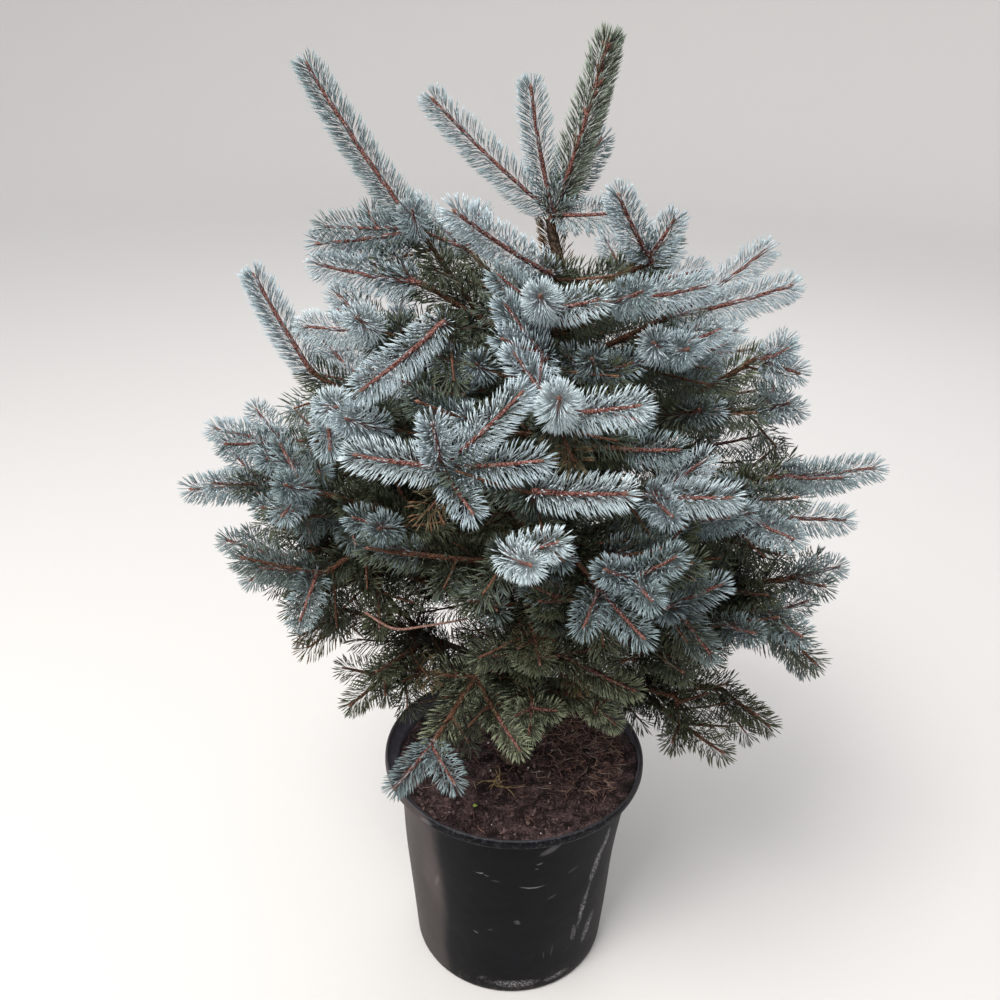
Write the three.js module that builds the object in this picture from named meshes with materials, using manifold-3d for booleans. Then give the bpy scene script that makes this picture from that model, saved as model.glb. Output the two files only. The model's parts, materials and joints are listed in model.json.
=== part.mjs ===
// Potted blue spruce: a young tree about 0.7 m tall in a black nursery pot.
// Millimetres and degrees, +Z up, origin at the centre of the pot's flat underside.
// Azimuth 0 points along +X and 90 along +Y. The crown grows by one seeded rule:
// every bough is a stem of yearly shoots, with side twigs at each year's node.
import * as THREE from 'three';
import { mergeVertices } from 'three/addons/utils/BufferGeometryUtils.js';
import Module from 'manifold-3d';

const wasm = await Module();
wasm.setup();

// Clearance between pieces that touch
const GAP = 0.3;

// Seeded stream of numbers
const STREAM_MODULUS = 2147483647;
const STREAM_FACTOR = 16807;
const SEED_START = 104729;
const SEED_STEP = 7919;
const WARM_UP = 3;

// Corners closer than these are the same corner: of a twig, and of a joined piece
const FINE = 1e-5;
const FINEST = 1e-3;

// Corners of a joined piece that lie closer than the first of these that keeps it whole become one
const WELDS = [0.02, 0.01, 0.005, 0.03];

// Pot
const POT_HEIGHT = 252;
const POT_BASE_RADIUS = 107;
const POT_BODY_RADIUS = 129;
const POT_LIP_RADIUS = 140;
const POT_LIP_HEIGHT = 11;
const POT_WALL = 2.2;
const POT_FLOOR = 3;
const POT_EDGE = 2;
const POT_ROUND = 1;
const POT_SIDES = 36;

// Soil
const SOIL_LEVEL = 240;
const SOIL_DIP = 5;
const SOIL_SLOPE = 12;
const SOIL_FLAT_RADIUS = 40;
const SOIL_CLEARANCE = 1.3;
const SOIL_SIDES = 24;

// Trunk: height and x of its bends, and its radius from the root flare to the tip
const TRUNK_BENDS = [[240, 2], [450, 10], [650, 22], [770, 27], [812, 16]];
const TRUNK_TIP = 812;
const TRUNK_RADII = [[240, 17], [248, 14], [262, 12], [450, 10.5], [650, 8], [770, 5.5], [812, 4]];
const TRUNK_SIDES = 12;

// Yearly shoots
const STEPS = 4;
const STEM_SHARES = { 1: [1], 2: [0.54, 0.46], 3: [0.42, 0.31, 0.27] };
const TWIG_RADII = [1.9, 2.6, 3.2, 4.0];
const LIMB_RADII = [3.4, 4.4, 5.6];
const LIMB_SIDES = 6;
const LIMB_ROWS = 3;
const TIP_LIFT = 8;
const FORK_STEPS = 20;
const FOOT_EDGE_SHARES = [0, 0.25, 0.5, 0.75];
const FOOT_STEP = 0.02;

// Side twigs: how they leave the twig that bears them, and their length as a share of what lies
// ahead of them on it, or of its own young shoot
const SIDE_SPREAD = 52;
const SIDE_SHARE = 0.72;
const YOUNG_AT_TIP = 0.85;
const YOUNG_AT_NODE = 0.8;
const NODE_STEP = 5;
const LOWEST_RISE = -38;
const TURN_SPAN = [-10, 10];
const OPENING_SPAN = [-6, 6];
const SIZE_SPAN = [0.85, 1.12];
const LIFT_SPAN = [2, 14];
const MISSING_SHARE = 0.45;
const NUDGES = [0, 22, -22, 40];
const NUDGE_OPENING = 0.3;

// Space that a twig's axis keeps to other twigs, to the trunk and to the pot's rim
const SAMPLE_STEP = 8;
const CELL = 24;
const NEAR_OTHER = 13;
const NEAR_OWN = 8;
const NEAR_TRUNK = 20;
const JOINT_REACH = 16;
const RIM_CLEAR_RADIUS = 165;
const RIM_CLEAR_HEIGHT = 268;
const LOWEST_TWIG = 200;

// Sprays of needles on three-sided twigs
const TWIG_SIDES = 3;
const YOUNG_PITCH = 27;
const OLD_PITCH = 42;
const NEEDLE_LENGTH = 19;
const NEEDLE_ANGLES = [62, 34];
const NEEDLE_BASE = 0.4;
const NEEDLE_TESTS = [0.35, 0.6, 0.8, 1];
const CORE_SCALE = 1.25;
const TIP_TAPER = 0.6;
const BUD_LENGTH = 5;
const ROOT_RADIUS = 0.8;
const ROOT_LENGTH = 7;
const SPACE_MARGIN = 1.8;
const LIMB_MARGIN = 3;
const POT_MARGIN = 2;
const TOP_ORDER = 1;

// Colour and roughness of each kind of piece; foliage that leaves the trunk low down is darker
const LOOKS = {
  pot: [0x232428, 0.45],
  soil: [0x3c3230, 0.95],
  trunk: [0x4a382c, 0.9],
  bough: [0x6b4a35, 0.85],
  foliage: [0x9fb4c0, 0.7],
  darkFoliage: [0x6f8a86, 0.7],
};
const DARK_BELOW = 400;

const radians = THREE.MathUtils.degToRad;

// Seeded stream of numbers from 0 to 1
class Draw {
  constructor(seed) {
    this.state = (seed * SEED_STEP + SEED_START) % STREAM_MODULUS;
    for (let i = 0; i < WARM_UP; i += 1) this.next();
  }

  next() {
    this.state = (this.state * STREAM_FACTOR) % STREAM_MODULUS;
    return this.state / STREAM_MODULUS;
  }

  span([low, high]) {
    return low + (high - low) * this.next();
  }
}

// Value at a height in a list of height and value pairs
function valueAt(pairs, height) {
  const above = pairs.findIndex(([z], index) => index > 0 && height <= z);
  const index = above < 0 ? pairs.length - 2 : above - 1;
  const [z0, v0] = pairs[index];
  const [z1, v1] = pairs[index + 1];
  return v0 + (v1 - v0) * THREE.MathUtils.clamp((height - z0) / (z1 - z0), 0, 1);
}

function trunkAt(height) {
  return new THREE.Vector3(valueAt(TRUNK_BENDS, height), 0, height);
}

function heading(azimuth, rise) {
  const a = radians(azimuth);
  const e = radians(rise);
  return new THREE.Vector3(Math.cos(a) * Math.cos(e), Math.sin(a) * Math.cos(e), Math.sin(e));
}

function anglesOf(v) {
  const degrees = THREE.MathUtils.radToDeg;
  return [degrees(Math.atan2(v.y, v.x)), degrees(Math.atan2(v.z, Math.hypot(v.x, v.y)))];
}

// Heading of a twig that leaves another at the angle spread. Roll turns it round that twig:
// 0 to the right, 90 up, 180 to the left, 270 down.
function sideHeading(azimuth, rise, spread, roll) {
  const along = heading(azimuth, rise);
  const right = new THREE.Vector3(Math.sin(radians(azimuth)), -Math.cos(radians(azimuth)), 0);
  const up = right.clone().cross(along);
  const out = along.multiplyScalar(Math.cos(radians(spread)));
  out.addScaledVector(right, Math.sin(radians(spread)) * Math.cos(radians(roll)));
  out.addScaledVector(up, Math.sin(radians(spread)) * Math.sin(radians(roll)));
  return anglesOf(out);
}

// Points of a curved axis: the share of a stem from t0 to t1
function axisPoints(start, azimuth, rise, arch, length, t0 = 0, t1 = 1) {
  const points = [start.clone()];
  for (let k = 0; k < STEPS; k += 1) {
    const t = t0 + ((t1 - t0) * (k + 0.5)) / STEPS;
    const step = heading(azimuth, rise + arch * (t - 0.5)).multiplyScalar((length * (t1 - t0)) / STEPS);
    points.push(points[k].clone().add(step));
  }
  return points;
}

// A bough of the crown. Its stem leaves the trunk at a height, or forks from another bough at a
// share of that bough's stem. Tip is the azimuth, rise and length of this year's shoot on its end.
function bough(name, height, azimuth, rise, length, years, tip, options = {}) {
  return {
    name, height, azimuth, rise, length, years, tip,
    arch: 0, rolls: [0, 180], spread: SIDE_SPREAD, arms: [], limb: false, mass: name, ...options,
  };
}

function fork(name, parent, share, azimuth, rise, length, years, tip, options = {}) {
  return bough(name, 0, azimuth, rise, length, years, tip, { parent, share, mass: parent, ...options });
}

// A young shoot beside the tip: azimuth, rise, length, and how far along the tip it leaves
function arm(azimuth, rise, length, along = NODE_STEP) {
  return { azimuth, rise, length, along };
}

const LIMB = { limb: true };

// The crown from its top down, first what faces the viewer and then the back
const BOUGHS = [
  bough('crown_top', 812, 5, 76, 0, 0, [5, 74, 142], {
    rolls: [], arms: [arm(-156, 76, 98, 8), arm(180, 41, 130, 7), arm(50, 40, 80, 9), arm(-40, 8, 60, 6)],
  }),
  bough('spire', 640, -174, 55, 196, 1, [170, 54, 156], {
    ...LIMB, rolls: [], arms: [arm(180, -1, 76, 8), arm(-176, -8, 84), arm(-92, 28, 44, 6)],
  }),
  bough('front_top', 738, -97, 30, 95, 1, [-146, 32, 102], { rolls: [] }),
  bough('right_spike', 745, -46, 27, 110, 1, [-145, 54, 64], { rolls: [], arms: [arm(-30, 60, 34)] }),
  bough('front_high', 690, -97, 34, 135, 1, [-96, 24, 60]),
  fork('front_right_high', 'front_high', 0.5, -60, 32, 88, 1, [7, 9, 76], {
    rolls: [], arms: [arm(-70, 22, 50)],
  }),
  bough('right_long', 680, -24, 32, 118, 1, [0, 16, 102], { rolls: [], arms: [arm(26, 28, 100)] }),
  bough('left_high', 690, -165, 32, 140, 1, [174, 8, 86], { rolls: [0], arms: [arm(150, 14, 74)] }),
  bough('left_mid', 620, -157, 36, 190, 2, [-172, 4, 60]),
  fork('left_droop', 'left_mid', 0.5, -101, 43, 116, 1, [-135, -24, 86], { rolls: [] }),
  bough('high_rosette', 640, -53, 35, 165, 2, [-78, 18, 52]),
  bough('front_b', 640, -94, 34, 172, 2, [176, 52, 50], { rolls: [0, 270] }),
  bough('left_hook', 560, -164, 33, 246, 2, [178, 62, 88], { ...LIMB, rolls: [], arch: 10 }),
  fork('left_rosette', 'left_hook', 0.58, -128, 27, 110, 1, [-70, 20, 58], { rolls: [180] }),
  bough('far_left', 520, 180, 20, 248, 3, [172, 6, 70], { ...LIMB, rolls: [180], arms: [arm(130, 16, 54)] }),
  bough('front_a', 590, -90, 32, 235, 2, [-93, 30, 64], { ...LIMB, spread: 60 }),
  bough('right_green', 565, -12, 38, 232, 2, [-34, -8, 36], { ...LIMB, spread: 38 }),
  fork('right_b', 'right_green', 0.58, 14, 0, 98, 1, [-70, 26, 42]),
  bough('front_star', 545, -111, 30, 252, 2, [-100, 58, 54], {
    ...LIMB, rolls: [], arms: [arm(-165, 13, 62), arm(-20, 13, 74), arm(-8, 47, 80), arm(-56, -26, 44)],
  }),
  bough('front_mid', 520, -93, 33, 266, 2, [-18, 8, 64], { ...LIMB, rolls: [] }),
  fork('front_r', 'front_mid', 0.58, -24, 20, 96, 1, [-14, 6, 64]),
  bough('far_left_low', 470, -176, 22, 268, 3, [180, -6, 72], LIMB),
  fork('far_left_c', 'far_left_low', 0.46, -163, -4, 126, 2, [170, 12, 54]),
  bough('rosette_low_left', 490, -151, 28, 252, 2, [-98, 28, 52], LIMB),
  fork('low_left', 'rosette_low_left', 0.58, -146, -18, 92, 1, [-163, 20, 68]),
  bough('right_wide', 500, -5, 22, 238, 3, [0, 7, 88], { ...LIMB, rolls: [0] }),
  bough('right_low_front', 470, -24, 30, 220, 2, [-6, 0, 90], LIMB),
  bough('front_low', 470, -97, 33, 260, 2, [-74, 20, 60], { rolls: [180] }),
  bough('low_left_b', 345, -167, 30, 205, 2, [-168, -28, 50], { arch: -10 }),
  fork('low_left_c', 'low_left_b', 0.45, -134, 4, 78, 1, [-154, -34, 46]),
  bough('right_low', 420, -12, 18, 256, 3, [10, 10, 50], LIMB),
  bough('right_droop', 390, -20, 22, 248, 3, [-12, -52, 70], { ...LIMB, arch: -16, rolls: [0, 180, 270] }),
  bough('right_fan', 396, -57, 37, 252, 2, [-36, -42, 54], { arch: -16 }),
  bough('front_low_r', 420, -71, 37, 282, 3, [-138, 30, 40], {
    ...LIMB, rolls: [], arms: [arm(-44, 42, 46), arm(-80, 10, 44)],
  }),
  bough('front_base', 378, -74, 33, 118, 2, [-24, -14, 76]),
  bough('pot_rim', 432, -124, -24, 168, 2, [-143, -38, 54], { arch: -10, rolls: [180], spread: 62 }),
  bough('low_front', 345, -86, 24, 118, 2, [-98, -30, 30], { arch: -24 }),
  fork('low_front_r', 'low_front', 0.45, -38, 10, 76, 1, [-30, -30, 30]),
  fork('low_front_l', 'low_front', 0.5, 175, 8, 60, 1, [168, -24, 30]),
  bough('right_bottom', 335, -11, 8, 206, 2, [-10, -36, 62], { arch: -20, rolls: [0] }),
  fork('right_bottom_b', 'right_bottom', 0.5, -56, 20, 88, 1, [-58, -72, 30], { rolls: [180] }),
  bough('back_high_l', 700, 135, 32, 130, 1, [140, 26, 78]),
  bough('back_high_r', 690, 52, 22, 125, 1, [46, 18, 76]),
  bough('back_mid', 610, 96, 26, 190, 2, [92, 22, 78]),
  bough('back_mid_r', 590, 40, 20, 200, 2, [36, 12, 76]),
  bough('back_mid_l', 600, 144, 22, 195, 2, [148, 14, 76]),
  bough('back_wide', 500, 90, 20, 235, 3, [88, 14, 76], LIMB),
  bough('back_wide_l', 490, 130, 18, 240, 3, [132, 10, 76], LIMB),
  bough('back_wide_r', 480, 56, 16, 240, 3, [50, 8, 76]),
  bough('back_low_l', 400, 150, 12, 220, 3, [152, 4, 56]),
  bough('back_low', 390, 104, 12, 228, 3, [104, 4, 58]),
  bough('back_low_r', 380, 30, 10, 230, 3, [28, 2, 58]),
];

// Grows the whole crown as a list of shoots, each with its axis, age in years and mass
class Crown {
  constructor(boughs) {
    this.boughs = boughs;
    this.shoots = [];
    this.twigs = 0;
    this.cells = new Map();
    const nodes = boughs.map((item) => this.growStem(item));
    boughs.forEach((item, index) => this.growSides(item, nodes[index], new Draw(index + 1)));
  }

  newTwig() {
    this.twigs += 1;
    return this.twigs;
  }

  // Key of the cell that a point lies in, or of one some cells away from it
  cellKey(p, i = 0, j = 0, k = 0) {
    return [Math.floor(p.x / CELL) + i, Math.floor(p.y / CELL) + j, Math.floor(p.z / CELL) + k].join();
  }

  samples(points) {
    const out = [];
    for (let i = 1; i < points.length; i += 1) {
      const count = Math.max(1, Math.ceil(points[i].distanceTo(points[i - 1]) / SAMPLE_STEP));
      for (let k = 1; k <= count; k += 1) out.push(points[i - 1].clone().lerp(points[i], k / count));
    }
    return out;
  }

  // Adds a yearly shoot to a twig, which is all the shoots that follow each other on one axis
  add(twig, points, age, order, mass, limb = false) {
    this.shoots.push({ twig, points, age, order, mass, limb });
    for (const point of this.samples(points)) {
      const key = this.cellKey(point);
      if (!this.cells.has(key)) this.cells.set(key, []);
      this.cells.get(key).push({ point, mass });
    }
  }

  neighbours(p) {
    const around = [-1, 0, 1];
    const keys = around.flatMap((i) => around.flatMap((j) => around.map((k) => this.cellKey(p, i, j, k))));
    return keys.flatMap((key) => this.cells.get(key) ?? []);
  }

  // Whether a new axis keeps its distance to the pot, the trunk and every twig that stands already
  isClear(points, mass) {
    const start = points[0];
    return this.samples(points).every((p) => {
      const overPot = p.z < RIM_CLEAR_HEIGHT && Math.hypot(p.x, p.y) < RIM_CLEAR_RADIUS;
      if (p.z < LOWEST_TWIG || overPot) return false;
      const middle = trunkAt(THREE.MathUtils.clamp(p.z, SOIL_LEVEL, TRUNK_TIP));
      const aside = Math.hypot(p.x - middle.x, p.y - middle.y);
      if (p.z < TRUNK_TIP + NEAR_TRUNK && aside < NEAR_TRUNK) return false;
      const far = p.distanceTo(start);
      return this.neighbours(p).every((other) => {
        const distance = p.distanceTo(other.point);
        if (other.mass !== mass) return distance >= NEAR_OTHER;
        return far <= JOINT_REACH || distance >= NEAR_OWN || other.point.distanceTo(start) <= JOINT_REACH;
      });
    });
  }

  stemStart(item) {
    if (!item.parent) return trunkAt(item.height);
    const from = this.boughs.find((other) => other.name === item.parent);
    const step = (from.length * item.share) / FORK_STEPS;
    const point = trunkAt(from.height);
    for (let k = 0; k < FORK_STEPS; k += 1) {
      const t = (item.share * (k + 0.5)) / FORK_STEPS;
      point.addScaledVector(heading(from.azimuth, from.rise + from.arch * (t - 0.5)), step);
    }
    return point;
  }

  // A bough's own stem, this year's shoot on its end and the arms beside it
  growStem(item) {
    const { azimuth, rise, arch, length, years, mass } = item;
    let point = this.stemStart(item);
    let done = 0;
    const nodes = [];
    const twig = this.newTwig();
    if (length > 0) {
      STEM_SHARES[years].forEach((share, year) => {
        const points = axisPoints(point, azimuth, rise, arch, length, done, done + share);
        done += share;
        point = points[STEPS];
        this.add(twig, points, years - year, 0, mass, item.limb && year === 0);
        nodes.push({ point, done, left: years - 1 - year });
      });
    }
    const [tipAzimuth, tipRise, tipLength] = item.tip;
    this.add(twig, axisPoints(point, tipAzimuth, tipRise, TIP_LIFT, tipLength), 0, 0, mass);
    for (const { azimuth: turn, rise: lift, length: reach, along } of item.arms) {
      const foot = point.clone().addScaledVector(heading(tipAzimuth, tipRise), along);
      this.add(this.newTwig(), axisPoints(foot, turn, lift, TIP_LIFT, reach), 0, 1, mass);
    }
    return nodes;
  }

  growSides(item, nodes, draw) {
    const { azimuth, rise, arch, length, mass, tip } = item;
    for (const { point, done, left } of nodes) {
      const slope = rise + arch * (done - 0.5);
      const along = left === 0 ? heading(tip[0], tip[1]) : heading(azimuth, slope);
      const foot = point.clone().addScaledVector(along, NODE_STEP);
      const from = { point: foot, azimuth, rise: slope, order: 1, mass };
      const rest = left === 0 ? 0 : length * (1 - done) * SIDE_SHARE;
      const spread = left === 0 ? item.spread : SIDE_SPREAD;
      const young = tip[2] * (left === 0 ? YOUNG_AT_TIP : YOUNG_AT_NODE);
      const rolls = left === 0 ? item.rolls : [0, 180];
      for (const roll of rolls) this.growSide(draw, from, spread, roll, rest, left, young);
    }
  }

  // One side twig with its own yearly shoots, turned aside where another twig is in its way
  growSide(draw, from, spread, roll, length, years, young) {
    const turn = draw.span(TURN_SPAN);
    const opening = draw.span(OPENING_SPAN);
    const size = draw.span(SIZE_SPAN);
    const lift = draw.span(LIFT_SPAN);
    const chance = draw.next();
    if (from.order >= 2 && chance < MISSING_SHARE) return;
    for (const nudge of NUDGES) {
      const angle = spread + opening + nudge * NUDGE_OPENING;
      const [azimuth, slope] = sideHeading(from.azimuth, from.rise, angle, roll + turn + nudge);
      const rise = Math.max(slope, LOWEST_RISE);
      const parts = this.sideParts(from, azimuth, rise, lift, length * size, years, young * size);
      if (parts) {
        const twig = this.newTwig();
        for (const part of parts) this.add(twig, part.points, part.age, from.order, from.mass);
        this.growSideNodes(draw, from, parts, azimuth, rise, lift, length, years, young);
        return;
      }
    }
  }

  sideParts(from, azimuth, rise, lift, length, years, young) {
    const parts = [];
    let point = from.point;
    let done = 0;
    for (const [year, share] of (years ? STEM_SHARES[years] : []).entries()) {
      const points = axisPoints(point, azimuth, rise, lift, length, done, done + share);
      if (!this.isClear(points, from.mass)) return null;
      done += share;
      point = points[STEPS];
      parts.push({ points, age: years - year });
    }
    const points = axisPoints(point, azimuth, rise + lift / 2, TIP_LIFT, young);
    if (!this.isClear(points, from.mass)) return null;
    parts.push({ points, age: 0 });
    return parts;
  }

  growSideNodes(draw, from, parts, azimuth, rise, lift, length, years, young) {
    let done = 0;
    for (const [year, share] of (years ? STEM_SHARES[years] : []).entries()) {
      done += share;
      const left = years - 1 - year;
      const slope = rise + lift * (done - 0.5);
      const point = parts[year].points[STEPS];
      const next = { point, azimuth, rise: slope, order: from.order + 1, mass: from.mass };
      const rest = left === 0 ? 0 : length * (1 - done) * SIDE_SHARE;
      const reach = young * YOUNG_AT_NODE;
      for (const roll of [0, 180]) this.growSide(draw, next, SIDE_SPREAD, roll, rest, left, reach);
    }
  }
}

// A twig, limb or trunk along its axis, flat at its foot. With a needle rule, every side face is
// drawn out to a needle where the rule gives a tip for it. The far end is drawn out to a bud or
// flat. Level cuts are for the upright trunk.
function twigGeometry({ points, radii, sides, twist = 0, bud = 0, needle = null, level = false }) {
  const rows = points.length - 1;
  const positions = [];
  const faces = [];
  const push = (v) => positions.push(v.x, v.y, v.z) / 3 - 1;
  const frames = points.map((point, k) => {
    const along = points[Math.min(k + 1, rows)].clone().sub(points[Math.max(k - 1, 0)]).normalize();
    const tangent = level ? new THREE.Vector3(0, 0, 1) : along;
    const steep = Math.hypot(tangent.x, tangent.y) < 0.02;
    const left = new THREE.Vector3(steep ? 0 : -tangent.y, steep ? 1 : tangent.x, 0).normalize();
    return { point, tangent, left, up: tangent.clone().cross(left) };
  });
  const around = (frame, angle, radius, along = 0) => frame.point.clone()
    .addScaledVector(frame.left, Math.cos(angle) * radius)
    .addScaledVector(frame.up, Math.sin(angle) * radius)
    .addScaledVector(frame.tangent, along);
  const sector = (2 * Math.PI) / sides;
  const rings = frames.map((frame, k) => {
    const corners = Array.from({ length: sides }, (_, j) => around(frame, j * sector + k * twist, radii[k]));
    return corners.map(push);
  });
  for (let k = 0; k < rows; k += 1) {
    for (let j = 0; j < sides; j += 1) {
      const next = (j + 1) % sides;
      const [a, b, c, d] = [rings[k][j], rings[k][next], rings[k + 1][next], rings[k + 1][j]];
      const angle = (j + 0.5) * sector + (k + 0.5) * twist;
      const tip = needle ? needle(frames[k], frames[k + 1], angle, k) : null;
      if (tip) {
        const apex = push(tip);
        faces.push(a, b, apex, b, c, apex, c, d, apex, d, a, apex);
      } else {
        faces.push(a, b, d, b, c, d);
      }
    }
  }
  for (let j = 1; j < sides - 1; j += 1) faces.push(rings[0][0], rings[0][j + 1], rings[0][j]);
  if (bud > 0) {
    const end = push(around(frames[rows], 0, 0, bud));
    for (let j = 0; j < sides; j += 1) faces.push(rings[rows][j], rings[rows][(j + 1) % sides], end);
  } else {
    for (let j = 1; j < sides - 1; j += 1) faces.push(rings[rows][0], rings[rows][j], rings[rows][j + 1]);
  }
  const geometry = new THREE.BufferGeometry();
  geometry.setAttribute('position', new THREE.Float32BufferAttribute(positions, 3));
  geometry.setIndex(faces);
  return geometry;
}

function toSolid(geometry, tolerance = FINE) {
  const merged = mergeVertices(geometry, tolerance);
  const vertProperties = new Float32Array(merged.attributes.position.array);
  const corners = merged.index.array;
  const whole = (i) => new Set(corners.slice(i, i + 3)).size === 3;
  const triVerts = new Uint32Array(corners.filter((_, n) => whole(n - (n % 3))));
  return new wasm.Manifold(new wasm.Mesh({ numProp: 3, vertProperties, triVerts }));
}

function toGeometry(solid) {
  const { vertProperties, triVerts } = solid.getMesh();
  const geometry = new THREE.BufferGeometry();
  geometry.setAttribute('position', new THREE.BufferAttribute(vertProperties, 3));
  geometry.setIndex(new THREE.BufferAttribute(triVerts, 1));
  return geometry;
}

// Whether every edge of a mesh is shared by just two faces
function isOneSkin(geometry) {
  const { array } = mergeVertices(geometry, FINEST).index;
  const edges = new Map();
  for (let n = 0; n < array.length; n += 1) {
    const next = n % 3 === 2 ? n - 2 : n + 1;
    const key = [array[n], array[next]].sort((a, b) => a - b).join();
    edges.set(key, (edges.get(key) ?? 0) + 1);
  }
  return [...edges.values()].every((count) => count === 2);
}

// Joins the twigs of one mass, closes its slivers and keeps its one whole body, without loose
// scraps or sealed hollows
function joinTwigs(geometries) {
  const twigs = geometries.map((twig) => toSolid(twig));
  const joined = toGeometry(twigs.reduce((whole, twig) => whole.add(twig)));
  const candidates = WELDS.map((weld) => {
    const bodies = toSolid(joined, weld).decompose();
    return toGeometry(bodies.reduce((best, body) => (body.volume() > best.volume() ? body : best)));
  });
  return candidates.find(isOneSkin);
}

// How far along its axis a twig starts, so that its flat foot stands GAP clear of a face that it
// leaves at an angle
function footOffset(radius, angle) {
  return (GAP + radius * Math.sin(angle)) / Math.cos(angle);
}

function spacedPoints(points, rows) {
  return new THREE.CatmullRomCurve3(points).getSpacedPoints(rows);
}

// Axis with its first stretch cut off
function withoutFoot(points, offset) {
  const start = points[0].clone().addScaledVector(points[1].clone().sub(points[0]).normalize(), offset);
  return [start, ...points.slice(1)];
}

function distanceToAxis(p, points) {
  let best = Infinity;
  const line = new THREE.Line3();
  const near = new THREE.Vector3();
  for (let i = 1; i < points.length; i += 1) {
    line.set(points[i - 1], points[i]).closestPointToPoint(p, true, near);
    best = Math.min(best, near.distanceTo(p));
  }
  return best;
}

const crown = new Crown(BOUGHS);
const solidShoots = crown.shoots.filter(({ order }) => order <= TOP_ORDER);
for (const shoot of solidShoots) shoot.box = new THREE.Box3().setFromPoints(shoot.points);

// Whether a point of a needle lies in its own twig's space, clear of limbs, trunk and pot
function inOwnSpace(p, twig) {
  if (p.z < POT_HEIGHT + POT_MARGIN && Math.hypot(p.x, p.y) < POT_LIP_RADIUS + POT_MARGIN) return false;
  const middle = trunkAt(THREE.MathUtils.clamp(p.z, SOIL_LEVEL, TRUNK_TIP));
  if (p.distanceTo(middle) < valueAt(TRUNK_RADII, p.z) + SPACE_MARGIN) return false;
  const own = distanceToAxis(p, twig.points);
  return solidShoots.every((shoot) => {
    if (shoot === twig || (shoot.twig === twig.twig && !shoot.limb)) return true;
    if (shoot.box.distanceToPoint(p) > own + LIMB_RADII[2] + LIMB_MARGIN) return true;
    const distance = distanceToAxis(p, shoot.points);
    if (shoot.limb) return distance > LIMB_RADII[shoot.age - 1] + LIMB_MARGIN;
    return distance > own + (shoot.mass === twig.mass ? 0 : SPACE_MARGIN);
  });
}

// Tip of the needle on one side face of a twig, or null where it would leave the twig's space
function needleTip({ shoot, share: along }, foot, head, angle) {
  const lean = radians(shoot.age > 0 ? NEEDLE_ANGLES[0] : THREE.MathUtils.lerp(...NEEDLE_ANGLES, along));
  const base = foot.point.clone().lerp(head.point, NEEDLE_BASE);
  const out = foot.left.clone().multiplyScalar(Math.cos(angle) * Math.sin(lean));
  out.addScaledVector(foot.up, Math.sin(angle) * Math.sin(lean));
  out.addScaledVector(foot.tangent, Math.cos(lean));
  const pointAt = (share) => base.clone().addScaledVector(out, NEEDLE_LENGTH * share);
  return NEEDLE_TESTS.every((share) => inOwnSpace(pointAt(share), shoot)) ? pointAt(1) : null;
}

// One twig with its needles, from its oldest shoot to its bud. A side twig starts as a slim bare
// root on the axis of the twig that bears it, and a mass's first twig with a flat foot.
function sprayGeometry(shoots, offset) {
  const stations = [];
  shoots.forEach((shoot, index) => {
    const path = index > 0 ? shoot.points : withoutFoot(shoot.points, offset > 0 ? offset : ROOT_LENGTH);
    const curve = new THREE.CatmullRomCurve3(path);
    const pitch = shoot.age > 0 ? OLD_PITCH : YOUNG_PITCH;
    const rows = Math.max(1, Math.round(curve.getLength() / pitch));
    const foot = TWIG_RADII[shoot.age] * CORE_SCALE;
    const head = shoot.age > 0 ? TWIG_RADII[shoot.age - 1] * CORE_SCALE : foot * TIP_TAPER;
    curve.getSpacedPoints(rows).forEach((point, k) => {
      if (index > 0 && k === 0) return;
      const radius = THREE.MathUtils.lerp(foot, head, k / rows);
      stations.push({ point, shoot, radius, share: (k - 1) / rows });
    });
  });
  if (offset === 0) stations.unshift({ point: shoots[0].points[0], radius: ROOT_RADIUS });
  const bare = offset > 0 ? 0 : 1;
  return twigGeometry({
    points: stations.map(({ point }) => point),
    radii: stations.map(({ radius }) => radius),
    sides: TWIG_SIDES,
    twist: Math.PI / TWIG_SIDES,
    bud: BUD_LENGTH,
    needle: (foot, head, angle, row) => {
      return row < bare ? null : needleTip(stations[row + 1], foot, head, angle);
    },
  });
}

// Distance from the trunk's faceted skin to a point outside it
function trunkClearance(p) {
  const middle = trunkAt(p.z);
  const half = Math.PI / TRUNK_SIDES;
  const azimuth = Math.atan2(p.y - middle.y, p.x - middle.x);
  const turn = THREE.MathUtils.euclideanModulo(azimuth, 2 * half) - half;
  const skin = (valueAt(TRUNK_RADII, p.z) * Math.cos(half)) / Math.cos(turn);
  return Math.hypot(p.x - middle.x, p.y - middle.y) - skin;
}

// Points round the edge of a flat foot that faces along an axis
function footOutline(start, along, radius, sides) {
  const left = new THREE.Vector3(-along.y, along.x, 0).normalize();
  const up = along.clone().cross(left);
  const corner = (j) => start.clone()
    .addScaledVector(left, Math.cos((2 * Math.PI * j) / sides) * radius)
    .addScaledVector(up, Math.sin((2 * Math.PI * j) / sides) * radius);
  const edges = Array.from({ length: sides }, (_, j) => [corner(j), corner(j + 1)]);
  return edges.flatMap(([a, b]) => FOOT_EDGE_SHARES.map((share) => a.clone().lerp(b, share)));
}

// How far from the trunk's axis a flat foot stands GAP clear of the trunk
function trunkOffset(start, along, radius, sides) {
  const outline = footOutline(start, along, radius, sides);
  let offset = 0;
  while (outline.some((p) => trunkClearance(p.clone().addScaledVector(along, offset)) < GAP)) {
    offset += FOOT_STEP;
  }
  return offset;
}

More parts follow.
